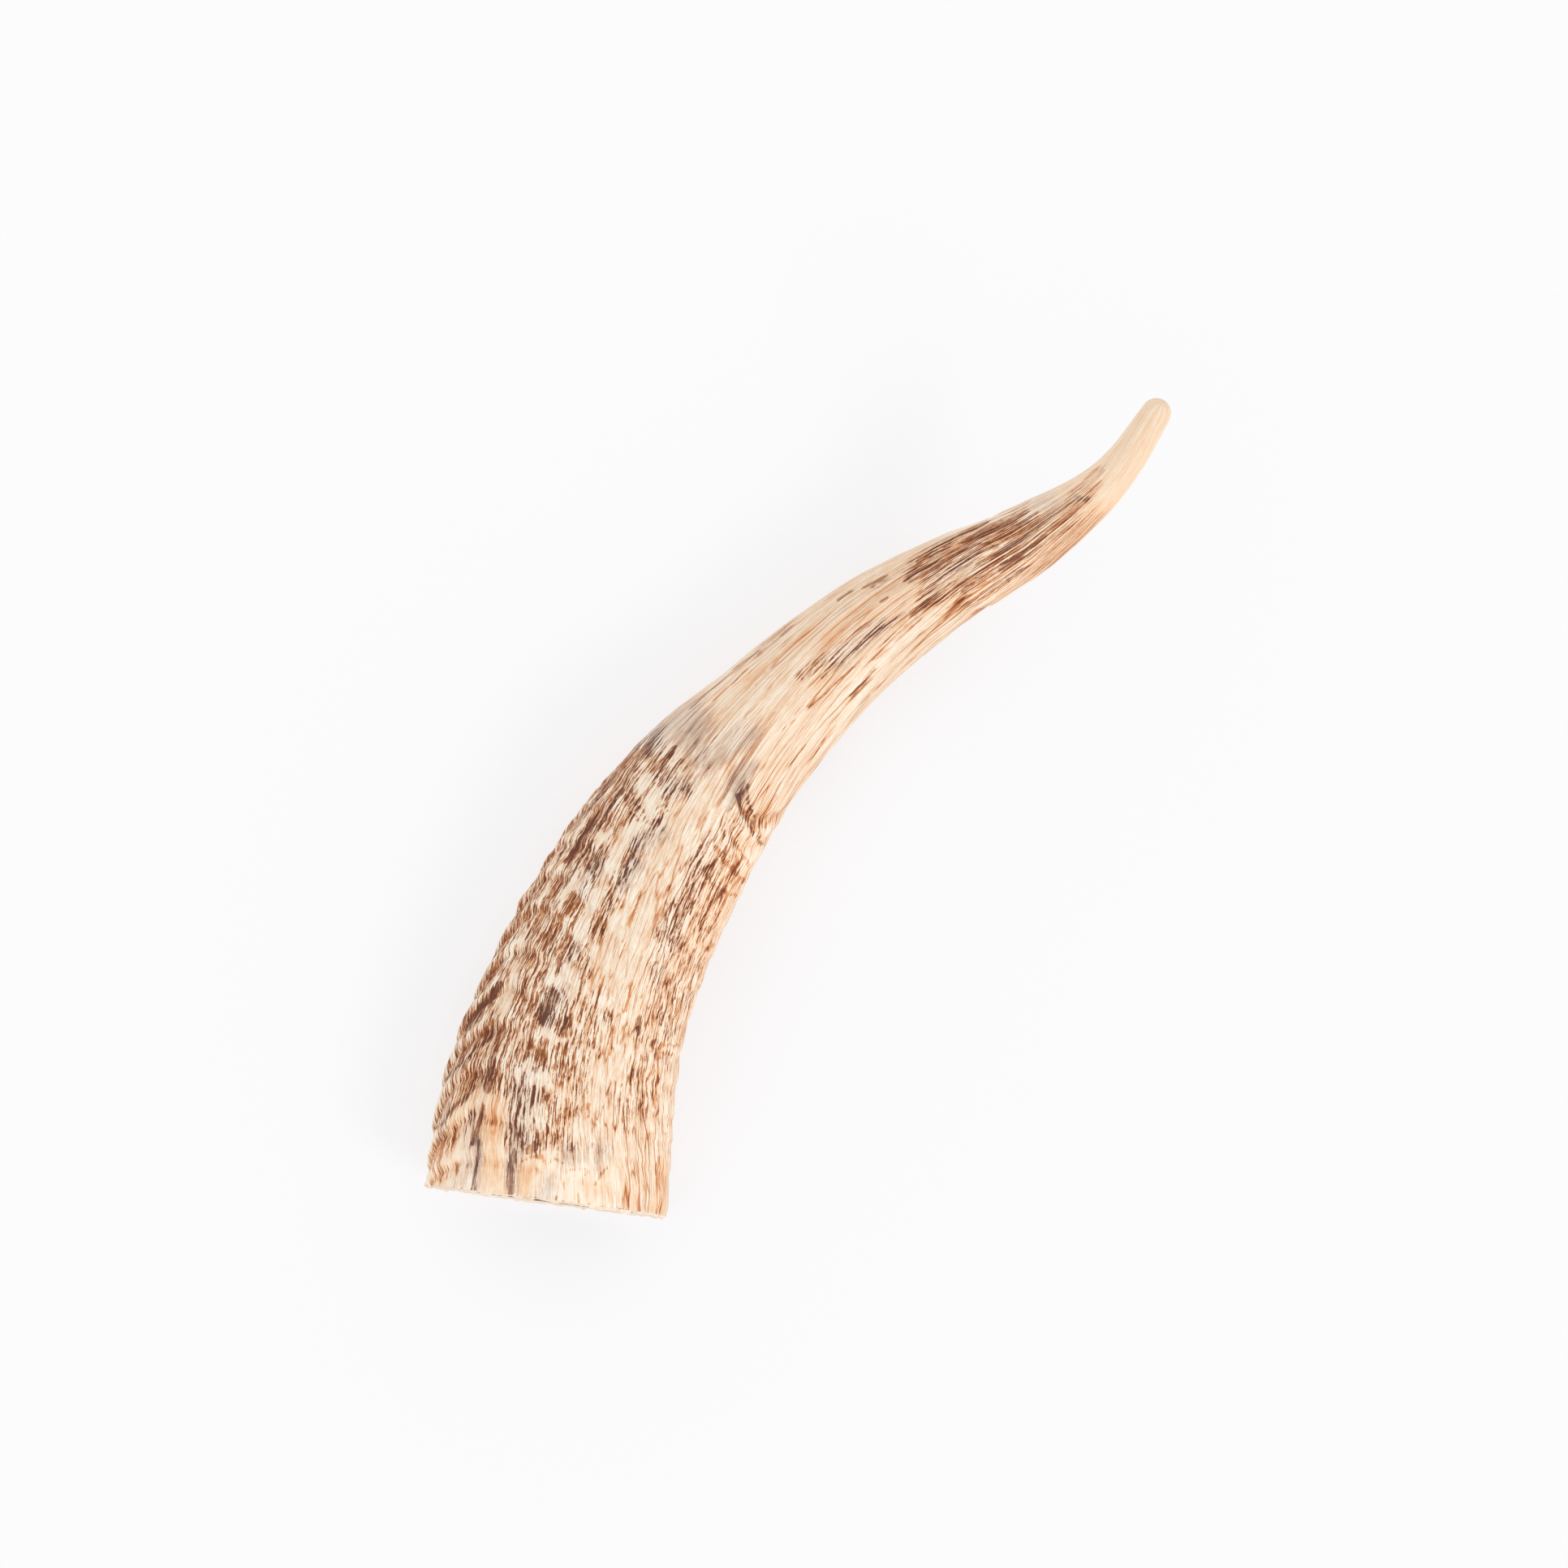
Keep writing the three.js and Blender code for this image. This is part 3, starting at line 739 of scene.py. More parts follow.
def join_doubles(sheet):
    """Closes the seams: points that lie on each other become one."""
    bpy.ops.object.select_all(action="DESELECT")
    sheet.select_set(True)
    bpy.context.view_layer.objects.active = sheet
    bpy.ops.object.mode_set(mode="EDIT")
    bpy.ops.mesh.select_all(action="SELECT")
    bpy.ops.mesh.remove_doubles(threshold=SEAM_GAP)
    bpy.ops.mesh.normals_make_consistent(inside=False)
    bpy.ops.object.mode_set(mode="OBJECT")


class Sway(NamedTuple):
    """A swing of the fibres to the side: how far in radians, over what length in millimetres,
    how closely the swings follow each other around the horn, and their seed."""

    turn: float
    length: float
    closeness: float
    seed: int


SWAYS = [Sway(0.022, 16, 1.6, 31), Sway(0.003, 3.5, 3, 32)]
SWAY_CALMING = 0.75
SWAY_CALMS = (88, 112)
FIBRES_LENGTHEN_FROM = 95
FIBRES_LENGTHENING = 0.4


def growth_places(angle, along):
    """Where the fibres run: distances along the horn and around it, in millimetres. The fibres
    sway a little, and are longer and straighter past the rings."""
    sway = 0
    for swing in SWAYS:
        place = around_horn(angle, along / swing.length, swing.closeness)
        sway = sway + swing.turn * unevenness(place, swing.seed)
    sway = sway * (1 - SWAY_CALMING * smoothstep(along, *SWAY_CALMS))
    past_rings = np.maximum(along - FIBRES_LENGTHEN_FROM, 0)
    drawn_out = along - FIBRES_LENGTHENING * past_rings
    return around_horn(angle + sway, drawn_out, fibre_radius(along))


def outer_skin():
    rows = RINGED_ROWS + SMOOTH_ROWS + CAP_ROWS
    sheet, column, row = unit_sheet("horn_sheath", AROUND, rows)
    angles = np.linspace(-math.pi, math.pi, AROUND + 1)
    angle = angles[column]
    cut = on_cut(skin_places, angles)[column]

    cap_start = TIP_ALONG - TIP_ROUNDING
    smooth_start = RINGS_FADE[1]
    ringed = cut + (smooth_start - cut) * row / RINGED_ROWS
    smooth = smooth_start + (cap_start - smooth_start) * (row - RINGED_ROWS) / SMOOTH_ROWS
    cap_turn = np.clip((row - RINGED_ROWS - SMOOTH_ROWS) / CAP_ROWS, 0, 1) * math.pi / 2
    along = np.where(row <= RINGED_ROWS, ringed, np.minimum(smooth, cap_start))
    along = along + TIP_ROUNDING * np.sin(cap_turn)
    share = np.where(row == rows, 0, np.cos(cap_turn))
    place_sheet(sheet, skin_places(angle, along, share))

    set_values(sheet.data, "growth", growth_places(angle, along))
    stains, tints, surface = weathering(angle, along, share)
    set_values(sheet.data, "stains", stains)
    set_values(sheet.data, "tints", tints)
    set_values(sheet.data, "surface", surface)
    join_doubles(sheet)
    return sheet


def edge_slope(along):
    """How steeply the line between the horn's edges, as seen from above, leans across it."""
    wide, thick, twist = section_at(along)
    half_width = along_stations(HALF_WIDTH, along)[0]
    return (wide**2 - thick**2) * np.sin(twist) * np.cos(twist) / half_width**2


# The marks lie on the side that shows, and fade out over these heights, in millimetres from
# the line between the horn's edges.
TOP_EDGE = (-3, -0.3)
# Past the rings the fibres run straight, and comb the stains out along them.
COMBING = (92, 112)
FRAYED = [Layer(1.6, 6, 0.9, 40), Layer(0.7, 2.4, 2, 41)]
COMBED = Layer(2.2, 18, 0.7, 49)
SWAYED = Layer(0.4, 4, 1.6, 42)
SWAYED_LESS = 0.6
# Thin marks waver by this share of what the broad ones do, and are thinner past the rings.
STEADIER = 0.3
THINNER = 0.18


def frayed_places(along, sideways, ground, combing):
    """The places that the broad marks and the thin ones are read at, so that their edges fray."""
    lengthened = uneven(ground, *FRAYED) * (1 - combing) + uneven(ground, COMBED) * combing
    swayed = uneven(ground, SWAYED) * (1 - SWAYED_LESS * combing)
    broad = along + lengthened, sideways + swayed
    thin = along + STEADIER * lengthened, sideways + STEADIER * swayed
    return broad, thin


RING_STAINS_FADE = (66, 92)
TROUGH_PLACE, TROUGH_HALF = 0.9, 0.2
CREST_PLACE, CREST_HALF = 0.3, 0.16
PATCHES = Layer(0.5, 10, 5, 43)


def ring_marks(angle, along, radius, ground):
    """The dirt in the troughs between the rings, and the bleached crests. Both are strongest
    at the keel."""
    keel = keel_share(angle) ** 1.5
    place = ring_place(angle, along, radius)
    fade = 1 - smoothstep(along, *RING_STAINS_FADE)
    trough = bell(place - TROUGH_PLACE, TROUGH_HALF) + bell(place + 1 - TROUGH_PLACE, TROUGH_HALF)
    crest = bell(place - CREST_PLACE, CREST_HALF)
    patchy = 0.5 + uneven(ground, PATCHES)
    stain = trough * fade * (0.15 + 0.85 * keel) * (0.35 + 0.65 * patchy)
    bleached = crest * fade * (0.1 + 0.9 * keel) * (1 - 0.5 * patchy)
    return stain, bleached


# The blotches of the side that the photograph doesn't show, and how sharp their edges are.
BROWN_BLOTCHES = Layer(1, 16, 7, 44)
BROWN_BLOTCH_EDGE = (-0.1, 0.6)
GREY_BLOTCHES = Layer(1, 14, 9, 45)
GREY_BLOTCH_EDGE = (0.2, 0.7)
WARM_BLOTCHES = Layer(1, 20, 8, 47)
WARM_BLOTCH_EDGE = (0, 0.6)
MOTTLED = Layer(0.3, 4, 1.4, 46)
STREAKS = Layer(0.2, 25, 5, 48)
# Streaks are strongest on the inner side of the bend and around this place before the tip.
STREAKED_SIDE = (0.1, 0.6)
STREAKED_ALONG, STREAKED_HALF = 172, 18
# Where the horn is worn smooth: the first millimetres, except on the inner side, and the tip.
WAXY_BASE = (8, 12.5)
WAXY_SIDE = (10, 17)
WAXY_FRAYING = 1.5
WAXY_TIP = (186, 200)


def weathering(angle, along, share):
    """What time has done to each point: stains (brown, dark, grey), tints (warm, rust, pale) and
    surface (how far it stands out, which the colour also uses as painted shade in the troughs
    and painted light on the crests, how streaky it is, how smooth it is worn)."""
    radius = mean_radius(along)
    ground = around_horn(angle, along, fibre_radius(along))
    raised = share * relief(angle, along, radius)
    sideways, upwards = cross_place(angle, along, share, 0, raised)
    on_top = smoothstep(upwards - sideways * edge_slope(along), *TOP_EDGE)
    beneath = 1 - on_top

    combing = smoothstep(along, *COMBING)
    broad, thin = frayed_places(along, sideways, ground, combing)
    wash, brown, grey, warm, pale = (
        mark_cover(marks, *broad) for marks in (WASHES, BROWN, GREY, WARM, PALE)
    )
    dark, rust = (
        on_top * (1 + mark_depth(marks, *thin)) - 1 - THINNER * combing for marks in (DARK, RUST)
    )
    ring_stain, ring_pale = ring_marks(angle, along, radius, ground)

    brown_below = 0.08 + 0.4 * smoothstep(uneven(ground, BROWN_BLOTCHES), *BROWN_BLOTCH_EDGE)
    brown = np.maximum(brown * (1 - 0.3 * combing), wash)
    brown = on_top * brown + beneath * brown_below + 0.4 * ring_stain
    brown = np.clip(brown * (0.85 + uneven(ground, MOTTLED)), 0, 1)
    grey_below = 0.6 * smoothstep(uneven(ground, GREY_BLOTCHES), *GREY_BLOTCH_EDGE)
    grey = on_top * grey + beneath * grey_below
    warm_below = 0.6 * smoothstep(uneven(ground, WARM_BLOTCHES), *WARM_BLOTCH_EDGE)
    warm = on_top * warm + beneath * warm_below
    pale = np.clip(0.6 * on_top * pale + 0.28 * ring_pale, 0, 1)

    streaky = 0.35 + 0.5 * smoothstep(sideways / radius, *STREAKED_SIDE)
    streaky = streaky + 0.5 * bell(along - STREAKED_ALONG, STREAKED_HALF)
    streaky = streaky + uneven(ground, STREAKS)
    waxy_edge = along + WAXY_FRAYING * (broad[0] - along)
    waxy_base = (1 - smoothstep(waxy_edge, *WAXY_BASE)) * (1 - smoothstep(sideways, *WAXY_SIDE))
    smoothness = np.maximum(smoothstep(along, *WAXY_TIP), on_top * waxy_base)
    # How far the skin stands out, without its broad swellings. The colour is darkened in the
    # troughs and lightened on the crests by it: painted shade and painted light.
    height_for_painted_shade = raised - share * (swelling_relief(angle, along) + waist_relief(angle, along))

    stains = np.stack([brown, dark, grey], axis=1)
    tints = np.stack([warm, rust, pale], axis=1)
    surface = np.stack([height_for_painted_shade, streaky, smoothness], axis=1)
    return stains, tints, surface


SAWN_SLOT = 1
HOLLOW_SLOT = 2
# How far the saw's burr stands out, row by row from the outer edge.
BURR = np.array([0, 0.5, 0.34, 0.12, 0.04, 0, 0])
BURR_MEAN = 0.8
BURR_RAGGED = [Layer(0.5, 1.7, 1.7, 51), Layer(0.3, 0.6, 0.6, 52)]
CRUMBS = Layer(1, 1.1, 1.1, 53)
CRUMBS_FROM = 0.45
CRUMB_HEIGHT = 2.2
# More than 1 where the rows of the sawn face lie closer together at the outer edge.
RIM_CROWDING = 1.6


def saw_burr(places, row):
    """The torn fibres that the saw left standing along the outer edge, with a few crumbs."""
    ragged = BURR_MEAN + uneven(places, *BURR_RAGGED)
    crumbs = np.maximum(uneven(places, CRUMBS) - CRUMBS_FROM, 0) * CRUMB_HEIGHT
    return BURR[np.minimum(row, RIM_ROWS)] * (ragged + crumbs)


def sawn_face_and_hollow():
    rows = RIM_ROWS + HOLLOW_ROWS
    sheet, column, row = unit_sheet("hollow", AROUND, rows)
    angles = np.linspace(-math.pi, math.pi, AROUND + 1)
    outer_cut = on_cut(skin_places, angles)
    inner_cut = on_cut(hollow_places, angles)
    deeper = np.clip((row - RIM_ROWS) / HOLLOW_ROWS, 0, 1)
    along = inner_cut[column] + (HOLLOW_DEPTH - inner_cut[column]) * deeper
    inside = np.maximum(along / HOLLOW_DEPTH, 0)
    share = np.where(row == rows, 0, 1 - inside**HOLLOW_BLUNTNESS)
    places = hollow_places(angles[column], along, share)

    outer_edge = skin_places(angles, outer_cut, 1)
    inner_edge = hollow_places(angles, inner_cut, 1)
    inward = np.clip(row / RIM_ROWS, 0, 1)[:, None] ** RIM_CROWDING
    sawn = outer_edge[column] * (1 - inward) + inner_edge[column] * inward
    sawn = sawn + saw_burr(sawn, row)[:, None] * CUT_OUTWARD
    places = np.where((row < RIM_ROWS)[:, None], sawn, places)

    place_sheet(sheet, places)
    set_values(sheet.data, "growth", growth_places(angles[column], along))
    first_row = np.array([min(row[list(face.vertices)]) for face in sheet.data.polygons])
    slots = np.where(first_row < RIM_ROWS, SAWN_SLOT, HOLLOW_SLOT)
    sheet.data.polygons.foreach_set("material_index", slots)
    join_doubles(sheet)
    return sheet


def paint(red, green, blue):
    """A colour as seen, in steps of 255, turned into the amounts of light it throws back."""
    seen = np.array([red, green, blue]) / 255
    light = np.where(seen <= 0.04045, seen / 12.92, ((seen + 0.055) / 1.055) ** 2.4)
    return (*light, 1)


def add_node(tree, kind, **settings):
    node = tree.nodes.new(kind)
    for name, value in settings.items():
        setattr(node, name, value)
    return node


def feed(tree, socket, value):
    if isinstance(value, bpy.types.NodeSocket):
        tree.links.new(value, socket)
    else:
        socket.default_value = value


def calculate(tree, operation, *values, clamp=False):
    node = add_node(tree, "ShaderNodeMath", operation=operation, use_clamp=clamp)
    for socket, value in zip(node.inputs, values):
        feed(tree, socket, value)
    return node.outputs[0]


def ramp(tree, value, low, high, start=0, end=1):
    node = add_node(tree, "ShaderNodeMapRange", interpolation_type="SMOOTHSTEP")
    names = ("Value", "From Min", "From Max", "To Min", "To Max")
    for name, given in zip(names, (value, low, high, start, end)):
        feed(tree, node.inputs[name], given)
    return node.outputs["Result"]


def blend(tree, amount, below, above):
    """Mixes two colours. The Mix node's colour sockets are its seventh and eighth."""
    node = add_node(tree, "ShaderNodeMix", data_type="RGBA")
    feed(tree, node.inputs["Factor"], amount)
    feed(tree, node.inputs[6], below)
    feed(tree, node.inputs[7], above)
    return node.outputs[2]


def attribute(tree, name):
    node = add_node(tree, "ShaderNodeAttribute", attribute_type="GEOMETRY", attribute_name=name)
    return node.outputs["Vector"]


def fibre_group():
    """Grain that is drawn out along the horn. Length and spacing are in millimetres. Line is 1
    on thin lines that follow the grain, where it passes through its middle."""
    group = bpy.data.node_groups.new("Fibre grain", "ShaderNodeTree")
    group.interface.new_socket("Growth", in_out="INPUT", socket_type="NodeSocketVector")
    defaults = {
        "Length": 12.0,
        "Spacing": 1.0,
        "Shift": 0.0,
        "Roughness": 0.6,
        "Detail": 3.0,
        "Width": 0.03,
    }
    for name, default in defaults.items():
        socket = group.interface.new_socket(name, in_out="INPUT", socket_type="NodeSocketFloat")
        socket.default_value = default
    group.interface.new_socket("Grain", in_out="OUTPUT", socket_type="NodeSocketFloat")
    group.interface.new_socket("Line", in_out="OUTPUT", socket_type="NodeSocketFloat")
    given = add_node(group, "NodeGroupInput").outputs
    parts = add_node(group, "ShaderNodeSeparateXYZ")
    feed(group, parts.inputs[0], given["Growth"])
    run = calculate(group, "DIVIDE", parts.outputs["X"], given["Length"])
    run = calculate(group, "ADD", run, given["Shift"])
    beside = calculate(group, "DIVIDE", parts.outputs["Y"], given["Spacing"])
    over = calculate(group, "DIVIDE", parts.outputs["Z"], given["Spacing"])
    joined = add_node(group, "ShaderNodeCombineXYZ")
    for socket, value in zip(joined.inputs, (run, beside, over)):
        feed(group, socket, value)
    noise = add_node(group, "ShaderNodeTexNoise", noise_dimensions="3D")
    feed(group, noise.inputs["Vector"], joined.outputs[0])
    feed(group, noise.inputs["Scale"], 1.0)
    feed(group, noise.inputs["Detail"], given["Detail"])
    feed(group, noise.inputs["Roughness"], given["Roughness"])
    spread = ramp(group, noise.outputs[0], 0.3, 0.7)
    from_middle = calculate(group, "ABSOLUTE", calculate(group, "SUBTRACT", noise.outputs[0], 0.5))
    line = ramp(group, from_middle, given["Width"], 0.0)
    output = add_node(group, "NodeGroupOutput")
    feed(group, output.inputs["Grain"], spread)
    feed(group, output.inputs["Line"], line)
    return group


def fibre(tree, group, growth, output="Grain", **values):
    node = add_node(tree, "ShaderNodeGroup", node_tree=group)
    feed(tree, node.inputs["Growth"], growth)
    for name, value in values.items():
        feed(tree, node.inputs[name.capitalize()], value)
    return node.outputs[output]


# Dry horn throws back less of a sheen than plastic does.
DRY_SHEEN = 0.22


def new_material(name, roughness):
    material = bpy.data.materials.new(name)
    material.use_nodes = True
    tree = material.node_tree
    shader = tree.nodes["Principled BSDF"]
    shader.inputs["Roughness"].default_value = roughness
    shader.inputs["Specular IOR Level"].default_value = DRY_SHEEN
    return material, tree, shader


def engrave(tree, shader, height, strength, depth):
    """Relief that is finer than the skin. The depth is in millimetres."""
    bump = add_node(tree, "ShaderNodeBump")
    feed(tree, bump.inputs["Strength"], strength)
    feed(tree, bump.inputs["Distance"], depth * MM)
    feed(tree, bump.inputs["Height"], height)
    feed(tree, shader.inputs["Normal"], bump.outputs[0])


CREAM = paint(246, 230, 214)
ORANGE_TAN = paint(230, 200, 176)
HOLLOW_TAN = paint(206, 172, 132)
HOLLOW_BROWN = paint(150, 114, 84)
HOLLOW_DARK = paint(112, 84, 66)
# The saw's marks are long across the cut, and close above each other.
KERFS_PER_METRE = (150, 150, 4000)

# The horn's colours from its darkest stains to its bleached crests, each with its tone.
PLAIN_TONES = [
    (0.0, paint(110, 55, 30)),
    (0.2, paint(154, 90, 51)),
    (0.4, paint(195, 132, 88)),
    (0.6, paint(227, 178, 138)),
    (0.8, paint(243, 216, 188)),
    (1.0, paint(250, 240, 222)),
]
GREY_TONES = [
    (0.0, paint(96, 78, 74)),
    (0.2, paint(132, 112, 105)),
    (0.4, paint(172, 152, 136)),
    (0.6, paint(208, 190, 173)),
    (0.8, paint(231, 218, 205)),
    (1.0, paint(250, 242, 234)),
]
WARM_TONES = [
    (0.0, paint(118, 58, 34)),
    (0.2, paint(164, 90, 50)),
    (0.4, paint(208, 136, 86)),
    (0.6, paint(237, 178, 130)),
    (0.8, paint(247, 208, 170)),
    (1.0, paint(251, 233, 209)),
]


def tones(tree, tone, stops):
    node = add_node(tree, "ShaderNodeValToRGB")
    elements = node.color_ramp.elements
    for element, (place, colour) in zip((elements[0], elements[1]), (stops[0], stops[-1])):
        element.position = place
        element.color = colour
    for place, colour in stops[1:-1]:
        elements.new(place).color = colour
    feed(tree, node.inputs[0], tone)
    return node.outputs[0]


def scaled(tree, value, amount):
    return calculate(tree, "MULTIPLY", value, amount)


def broken_edge(tree, cover, unsteady, low, high):
    """A stain's cover with an edge that the grain breaks up, and none where there is no stain."""
    shaken = calculate(tree, "MULTIPLY_ADD", unsteady, ramp(tree, cover, 0.0, 0.3), cover)
    return ramp(tree, shaken, low, high)


def parts_of(tree, name):
    node = add_node(tree, "ShaderNodeSeparateXYZ")
    feed(tree, node.inputs[0], attribute(tree, name))
    return node.outputs


def weathered_horn(fibres):
    material, tree, shader = new_material("Weathered horn", 0.62)
    growth = attribute(tree, "growth")
    brown, dark, grey = parts_of(tree, "stains")
    warm, rust, pale = parts_of(tree, "tints")
    height, streaky, smooth = parts_of(tree, "surface")

    hair = fibre(tree, fibres, growth, length=7.0, spacing=0.24, roughness=0.6)
    strand = fibre(tree, fibres, growth, length=18.0, spacing=0.5, shift=3.0)
    crumb = fibre(tree, fibres, growth, length=1.3, spacing=0.28, shift=19.0, roughness=0.7)
    band = fibre(tree, fibres, growth, length=22.0, spacing=2.4, shift=7.0)
    patch = fibre(tree, fibres, growth, length=9.0, spacing=6.0, shift=11.0)
    mottle = fibre(tree, fibres, growth, length=3.2, spacing=1.5, shift=43.0, roughness=0.7)
    thin_shape = {"length": 24.0, "spacing": 0.8, "shift": 29.0, "detail": 0.0, "width": 0.04}
    bold_shape = {"length": 30.0, "spacing": 1.7, "shift": 37.0, "detail": 0.5, "width": 0.035}
    thin = fibre(tree, fibres, growth, "Line", **thin_shape)
    bold = fibre(tree, fibres, growth, "Line", **bold_shape)

    fine = calculate(tree, "ADD", scaled(tree, hair, 0.65), scaled(tree, crumb, 0.35))
    fine = ramp(tree, fine, 0.15, 0.85)
    grain = calculate(tree, "ADD", scaled(tree, fine, 0.5), scaled(tree, strand, 0.5))
    unsteady = ramp(tree, grain, 0.2, 0.8, -0.5, 0.5)
    rough = calculate(tree, "MULTIPLY_ADD", smooth, -0.35, 1.0)
    fine = calculate(tree, "MULTIPLY", fine, rough)
    strand = calculate(tree, "MULTIPLY", strand, rough)

    brown_left = calculate(tree, "SUBTRACT", brown, pale, clamp=True)
    brown_tone = broken_edge(tree, brown_left, unsteady, 0.2, 0.75)
    dark_tone = ramp(tree, calculate(tree, "MULTIPLY_ADD", unsteady, 0.36, dark), -0.15, 0.15)
    rust_tone = ramp(tree, calculate(tree, "MULTIPLY_ADD", unsteady, 0.36, rust), -0.15, 0.15)
    grey_tone = broken_edge(tree, grey, scaled(tree, unsteady, 0.5), 0.0, 1.0)
    thin_line = calculate(tree, "MULTIPLY", thin, ramp(tree, strand, 0.0, 0.5))
    bold_line = calculate(tree, "MULTIPLY", bold, ramp(tree, patch, 0.1, 0.5))
    lines = calculate(tree, "MAXIMUM", scaled(tree, thin_line, 0.8), bold_line)
    lines = calculate(tree, "MULTIPLY", lines, ramp(tree, streaky, 0.0, 1.0, 0.4, 1.0))
    lines = calculate(tree, "MULTIPLY", lines, calculate(tree, "SUBTRACT", 1.0, smooth))

    waxy = calculate(tree, "MULTIPLY", smooth, mottle)
    streaked_brown = calculate(tree, "MULTIPLY_ADD", fine, -0.3, -0.28)
    tone = calculate(tree, "MULTIPLY_ADD", brown_tone, streaked_brown, 1.05)
    for part, amount in (
        (waxy, -0.12),
        (dark_tone, -0.42),
        (rust_tone, -0.3),
        (grey_tone, -0.18),
        (warm, -0.08),
        (lines, -0.5),
        (band, -0.08),
        (strand, -0.12),
        (fine, -0.24),
        (smooth, 0.08),
        (pale, 0.15),
        # The skin's height: painted shade in the troughs and painted light on the crests.
        (height, 0.2),
    ):
        tone = calculate(tree, "ADD", tone, scaled(tree, part, amount))

    plain = tones(tree, tone, PLAIN_TONES)
    greyed = tones(tree, tone, GREY_TONES)
    warmed = tones(tree, tone, WARM_TONES)
    warm_cover = calculate(tree, "MAXIMUM", warm, scaled(tree, rust_tone, 0.9))
    warm_band = calculate(tree, "MULTIPLY", ramp(tree, patch, 0.4, 0.9), ramp(tree, band, 0.3, 0.8))
    warm_cover = calculate(tree, "MAXIMUM", warm_cover, scaled(tree, warm_band, 0.4))
    warm_cover = calculate(tree, "MAXIMUM", warm_cover, scaled(tree, waxy, 0.8))
    colour = blend(tree, warm_cover, plain, warmed)
    grey_cover = calculate(tree, "MAXIMUM", scaled(tree, grey, 0.7), scaled(tree, dark_tone, 0.2))
    colour = blend(tree, grey_cover, colour, greyed)
    feed(tree, shader.inputs["Base Color"], colour)

    rise = calculate(tree, "ADD", scaled(tree, fine, 0.5), scaled(tree, strand, 0.6))
    rise = calculate(tree, "ADD", rise, scaled(tree, dark_tone, 1.2))
    rise = calculate(tree, "ADD", rise, lines)
    engrave(tree, shader, scaled(tree, rise, -1.0), strength=0.6, depth=0.1)
    return material


def sawn_horn():
    material, tree, shader = new_material("Sawn horn", 0.7)
    place = add_node(tree, "ShaderNodeTexCoord").outputs["Object"]
    stretched = add_node(tree, "ShaderNodeMapping")
    stretched.inputs["Scale"].default_value = KERFS_PER_METRE
    feed(tree, stretched.inputs["Vector"], place)
    kerfs = add_node(tree, "ShaderNodeTexNoise")
    feed(tree, kerfs.inputs["Vector"], stretched.outputs[0])
    kerfs.inputs["Scale"].default_value = 1.0
    kerfs.inputs["Detail"].default_value = 4.0
    colour = blend(tree, ramp(tree, kerfs.outputs[0], 0.35, 0.75), CREAM, ORANGE_TAN)
    feed(tree, shader.inputs["Base Color"], colour)
    engrave(tree, shader, kerfs.outputs[0], strength=0.7, depth=0.15)
    return material


def hollow_horn(fibres):
    material, tree, shader = new_material("Hollow wall", 0.8)
    growth = attribute(tree, "growth")
    strand = fibre(tree, fibres, growth, length=14.0, spacing=0.9, shift=17.0)
    patch = fibre(tree, fibres, growth, length=7.0, spacing=5.0, shift=23.0)
    colour = blend(tree, patch, HOLLOW_TAN, HOLLOW_BROWN)
    colour = blend(tree, ramp(tree, strand, 0.45, 0.9), colour, HOLLOW_DARK)
    feed(tree, shader.inputs["Base Color"], colour)
    engrave(tree, shader, strand, strength=0.8, depth=0.25)
    return material


def make_horn():
    fibres = fibre_group()
    # The outer skin's material comes first, then those of SAWN_SLOT and HOLLOW_SLOT.
    materials = [weathered_horn(fibres), sawn_horn(), hollow_horn(fibres)]
    skin = outer_skin()
    hollow = sawn_face_and_hollow()
    for material in materials:
        skin.data.materials.append(material)
        hollow.data.materials.append(material)
    bpy.ops.object.select_all(action="DESELECT")
    hollow.select_set(True)
    skin.select_set(True)
    bpy.context.view_layer.objects.active = skin
    bpy.ops.object.join()
    join_doubles(skin)
    bpy.ops.object.shade_smooth_by_angle(angle=SMOOTH_BELOW)
    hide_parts("horn")
    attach(skin, "root")
    return skin


# The table, 6 m wide, glows a little, so that it stays white and the shadow on it faint.
TABLE_SIZE = 6000 * MM
TABLE_GREY = (0.3, 0.3, 0.3, 1)
TABLE_GLOW = (0.985, 0.985, 1, 1)
TABLE_GLOW_STRENGTH = 0.665


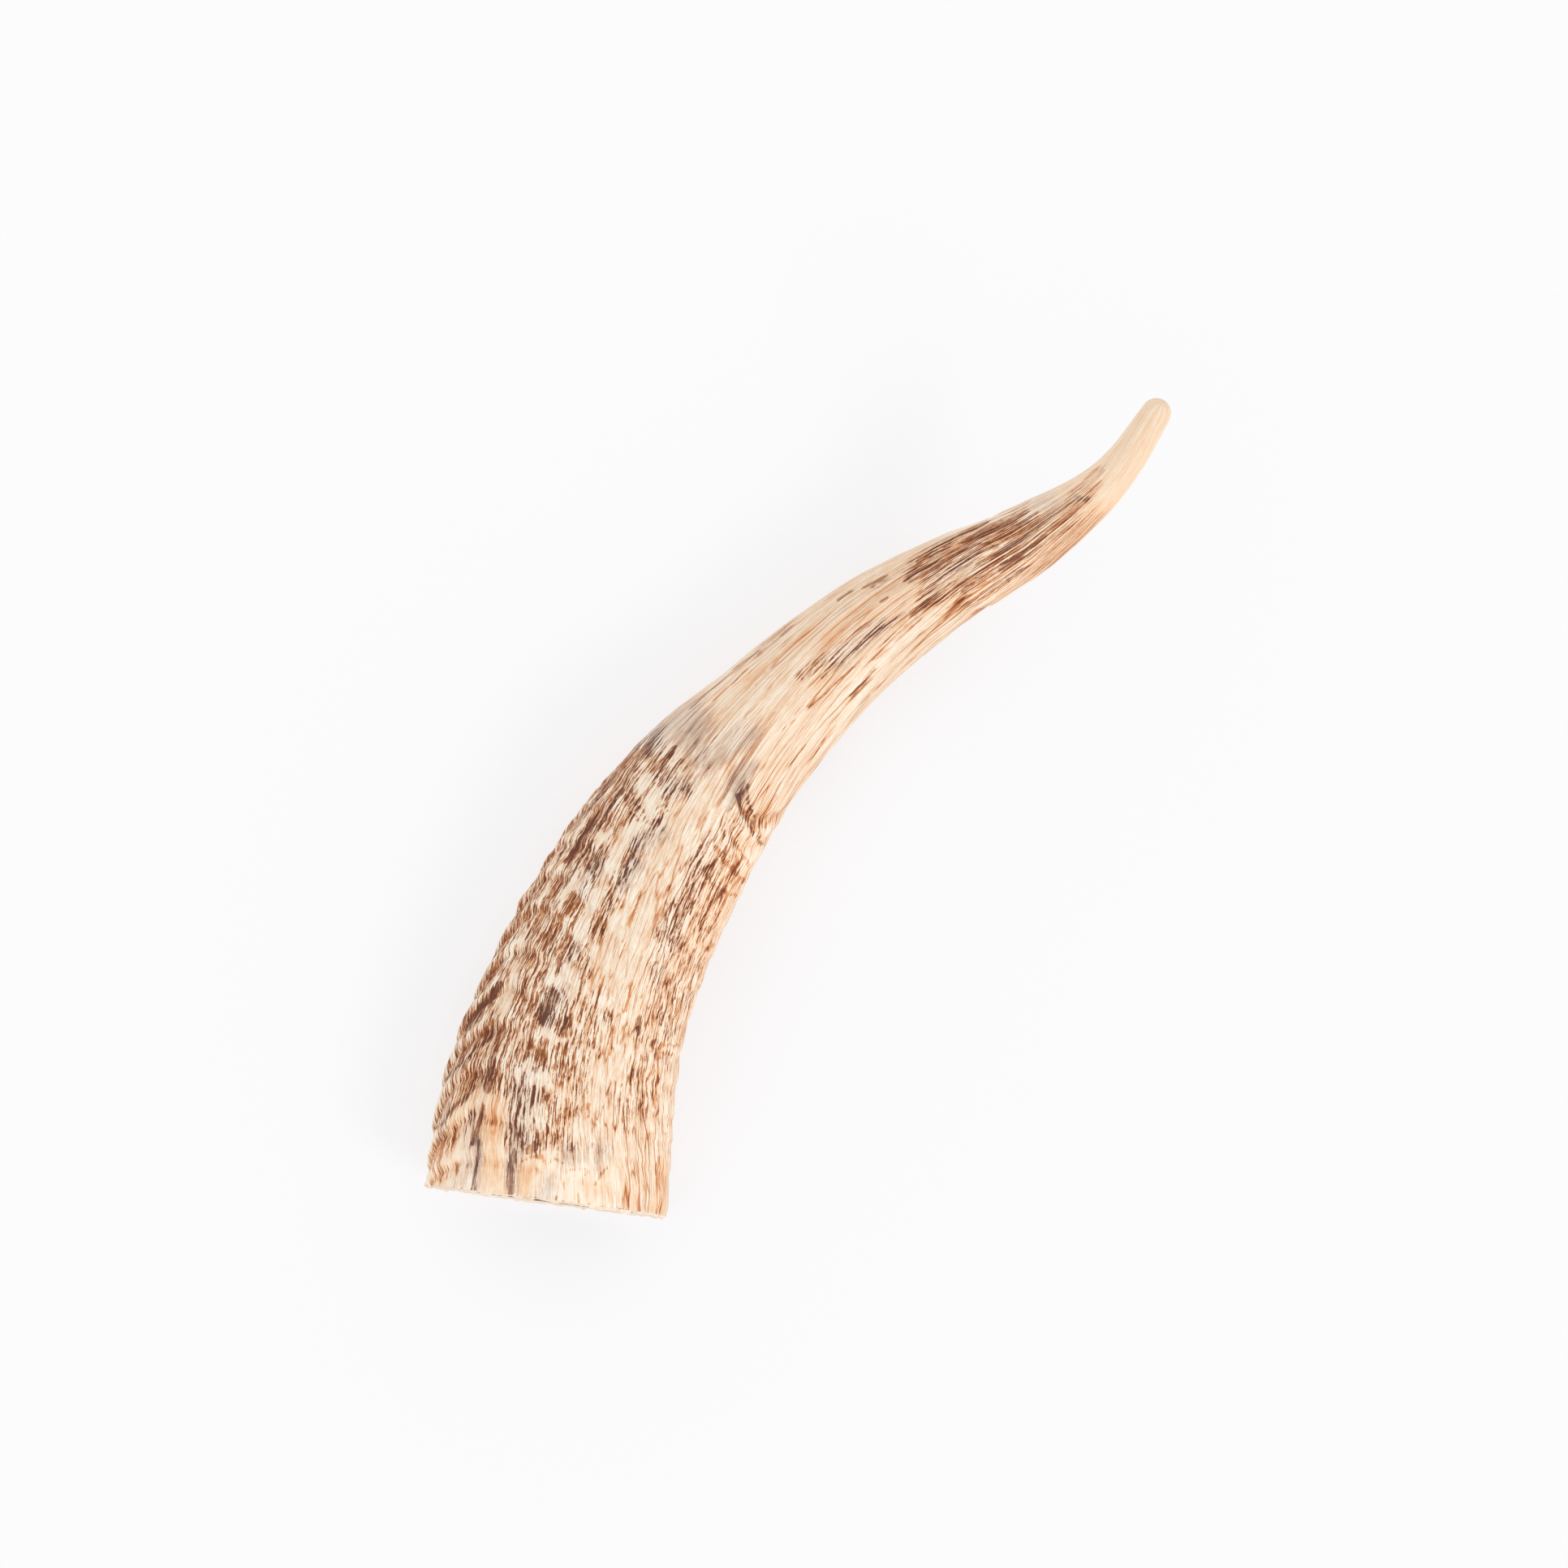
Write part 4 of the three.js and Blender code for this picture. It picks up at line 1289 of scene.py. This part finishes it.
def make_floor(level):
    bpy.ops.object.select_all(action="DESELECT")
    bpy.ops.mesh.primitive_plane_add(size=TABLE_SIZE, location=(0, 0, level))
    floor = bpy.context.object
    floor.name = "floor"
    material, tree, shader = new_material("Lit white table", 1.0)
    shader.inputs["Base Color"].default_value = TABLE_GREY
    shader.inputs["Specular IOR Level"].default_value = 0
    shader.inputs["Emission Color"].default_value = TABLE_GLOW
    shader.inputs["Emission Strength"].default_value = TABLE_GLOW_STRENGTH
    floor.data.materials.append(material)


# The photograph looks straight down on the horn, a little turned, from 0.9 m above the table.
CAMERA_PLACE = (-1.83 * MM, 4.02 * MM, 900 * MM)
CAMERA_TURN = 7.3
FRAME_WIDTH = 322
SENSOR_WIDTH = 36
HORN_MIDDLE_HEIGHT = 16


def make_camera():
    bpy.ops.object.camera_add(location=CAMERA_PLACE, rotation=(0, 0, math.radians(CAMERA_TURN)))
    camera = bpy.context.object
    distance = CAMERA_PLACE[2] / MM - HORN_MIDDLE_HEIGHT
    camera.data.sensor_width = SENSOR_WIDTH
    camera.data.lens = SENSOR_WIDTH * distance / FRAME_WIDTH
    bpy.context.scene.camera = camera


ROOM_LIGHT = 0.95
WINDOW_LIGHT = 0.6
WINDOW_WIDTH = math.radians(22)
TOWARDS_WINDOW = (0.702, -0.334, 0.629)


def make_light():
    world = bpy.data.worlds.new("Soft room light")
    world.use_nodes = True
    background = world.node_tree.nodes["Background"]
    background.inputs["Color"].default_value = (1, 1, 1, 1)
    background.inputs["Strength"].default_value = ROOM_LIGHT
    bpy.context.scene.world = world
    bpy.ops.object.light_add(type="SUN")
    sun = bpy.context.object
    sun.name = "window"
    sun.data.energy = WINDOW_LIGHT
    sun.data.angle = WINDOW_WIDTH
    right, ahead, up = TOWARDS_WINDOW
    sun.rotation_euler = (math.acos(up), 0, math.atan2(ahead, right) + math.pi / 2)
    bpy.context.scene.view_settings.view_transform = "Standard"


make_camera()
make_light()
horn = make_horn()
lowest = min(vertex.co.z for vertex in horn.data.vertices)
make_floor(lowest)
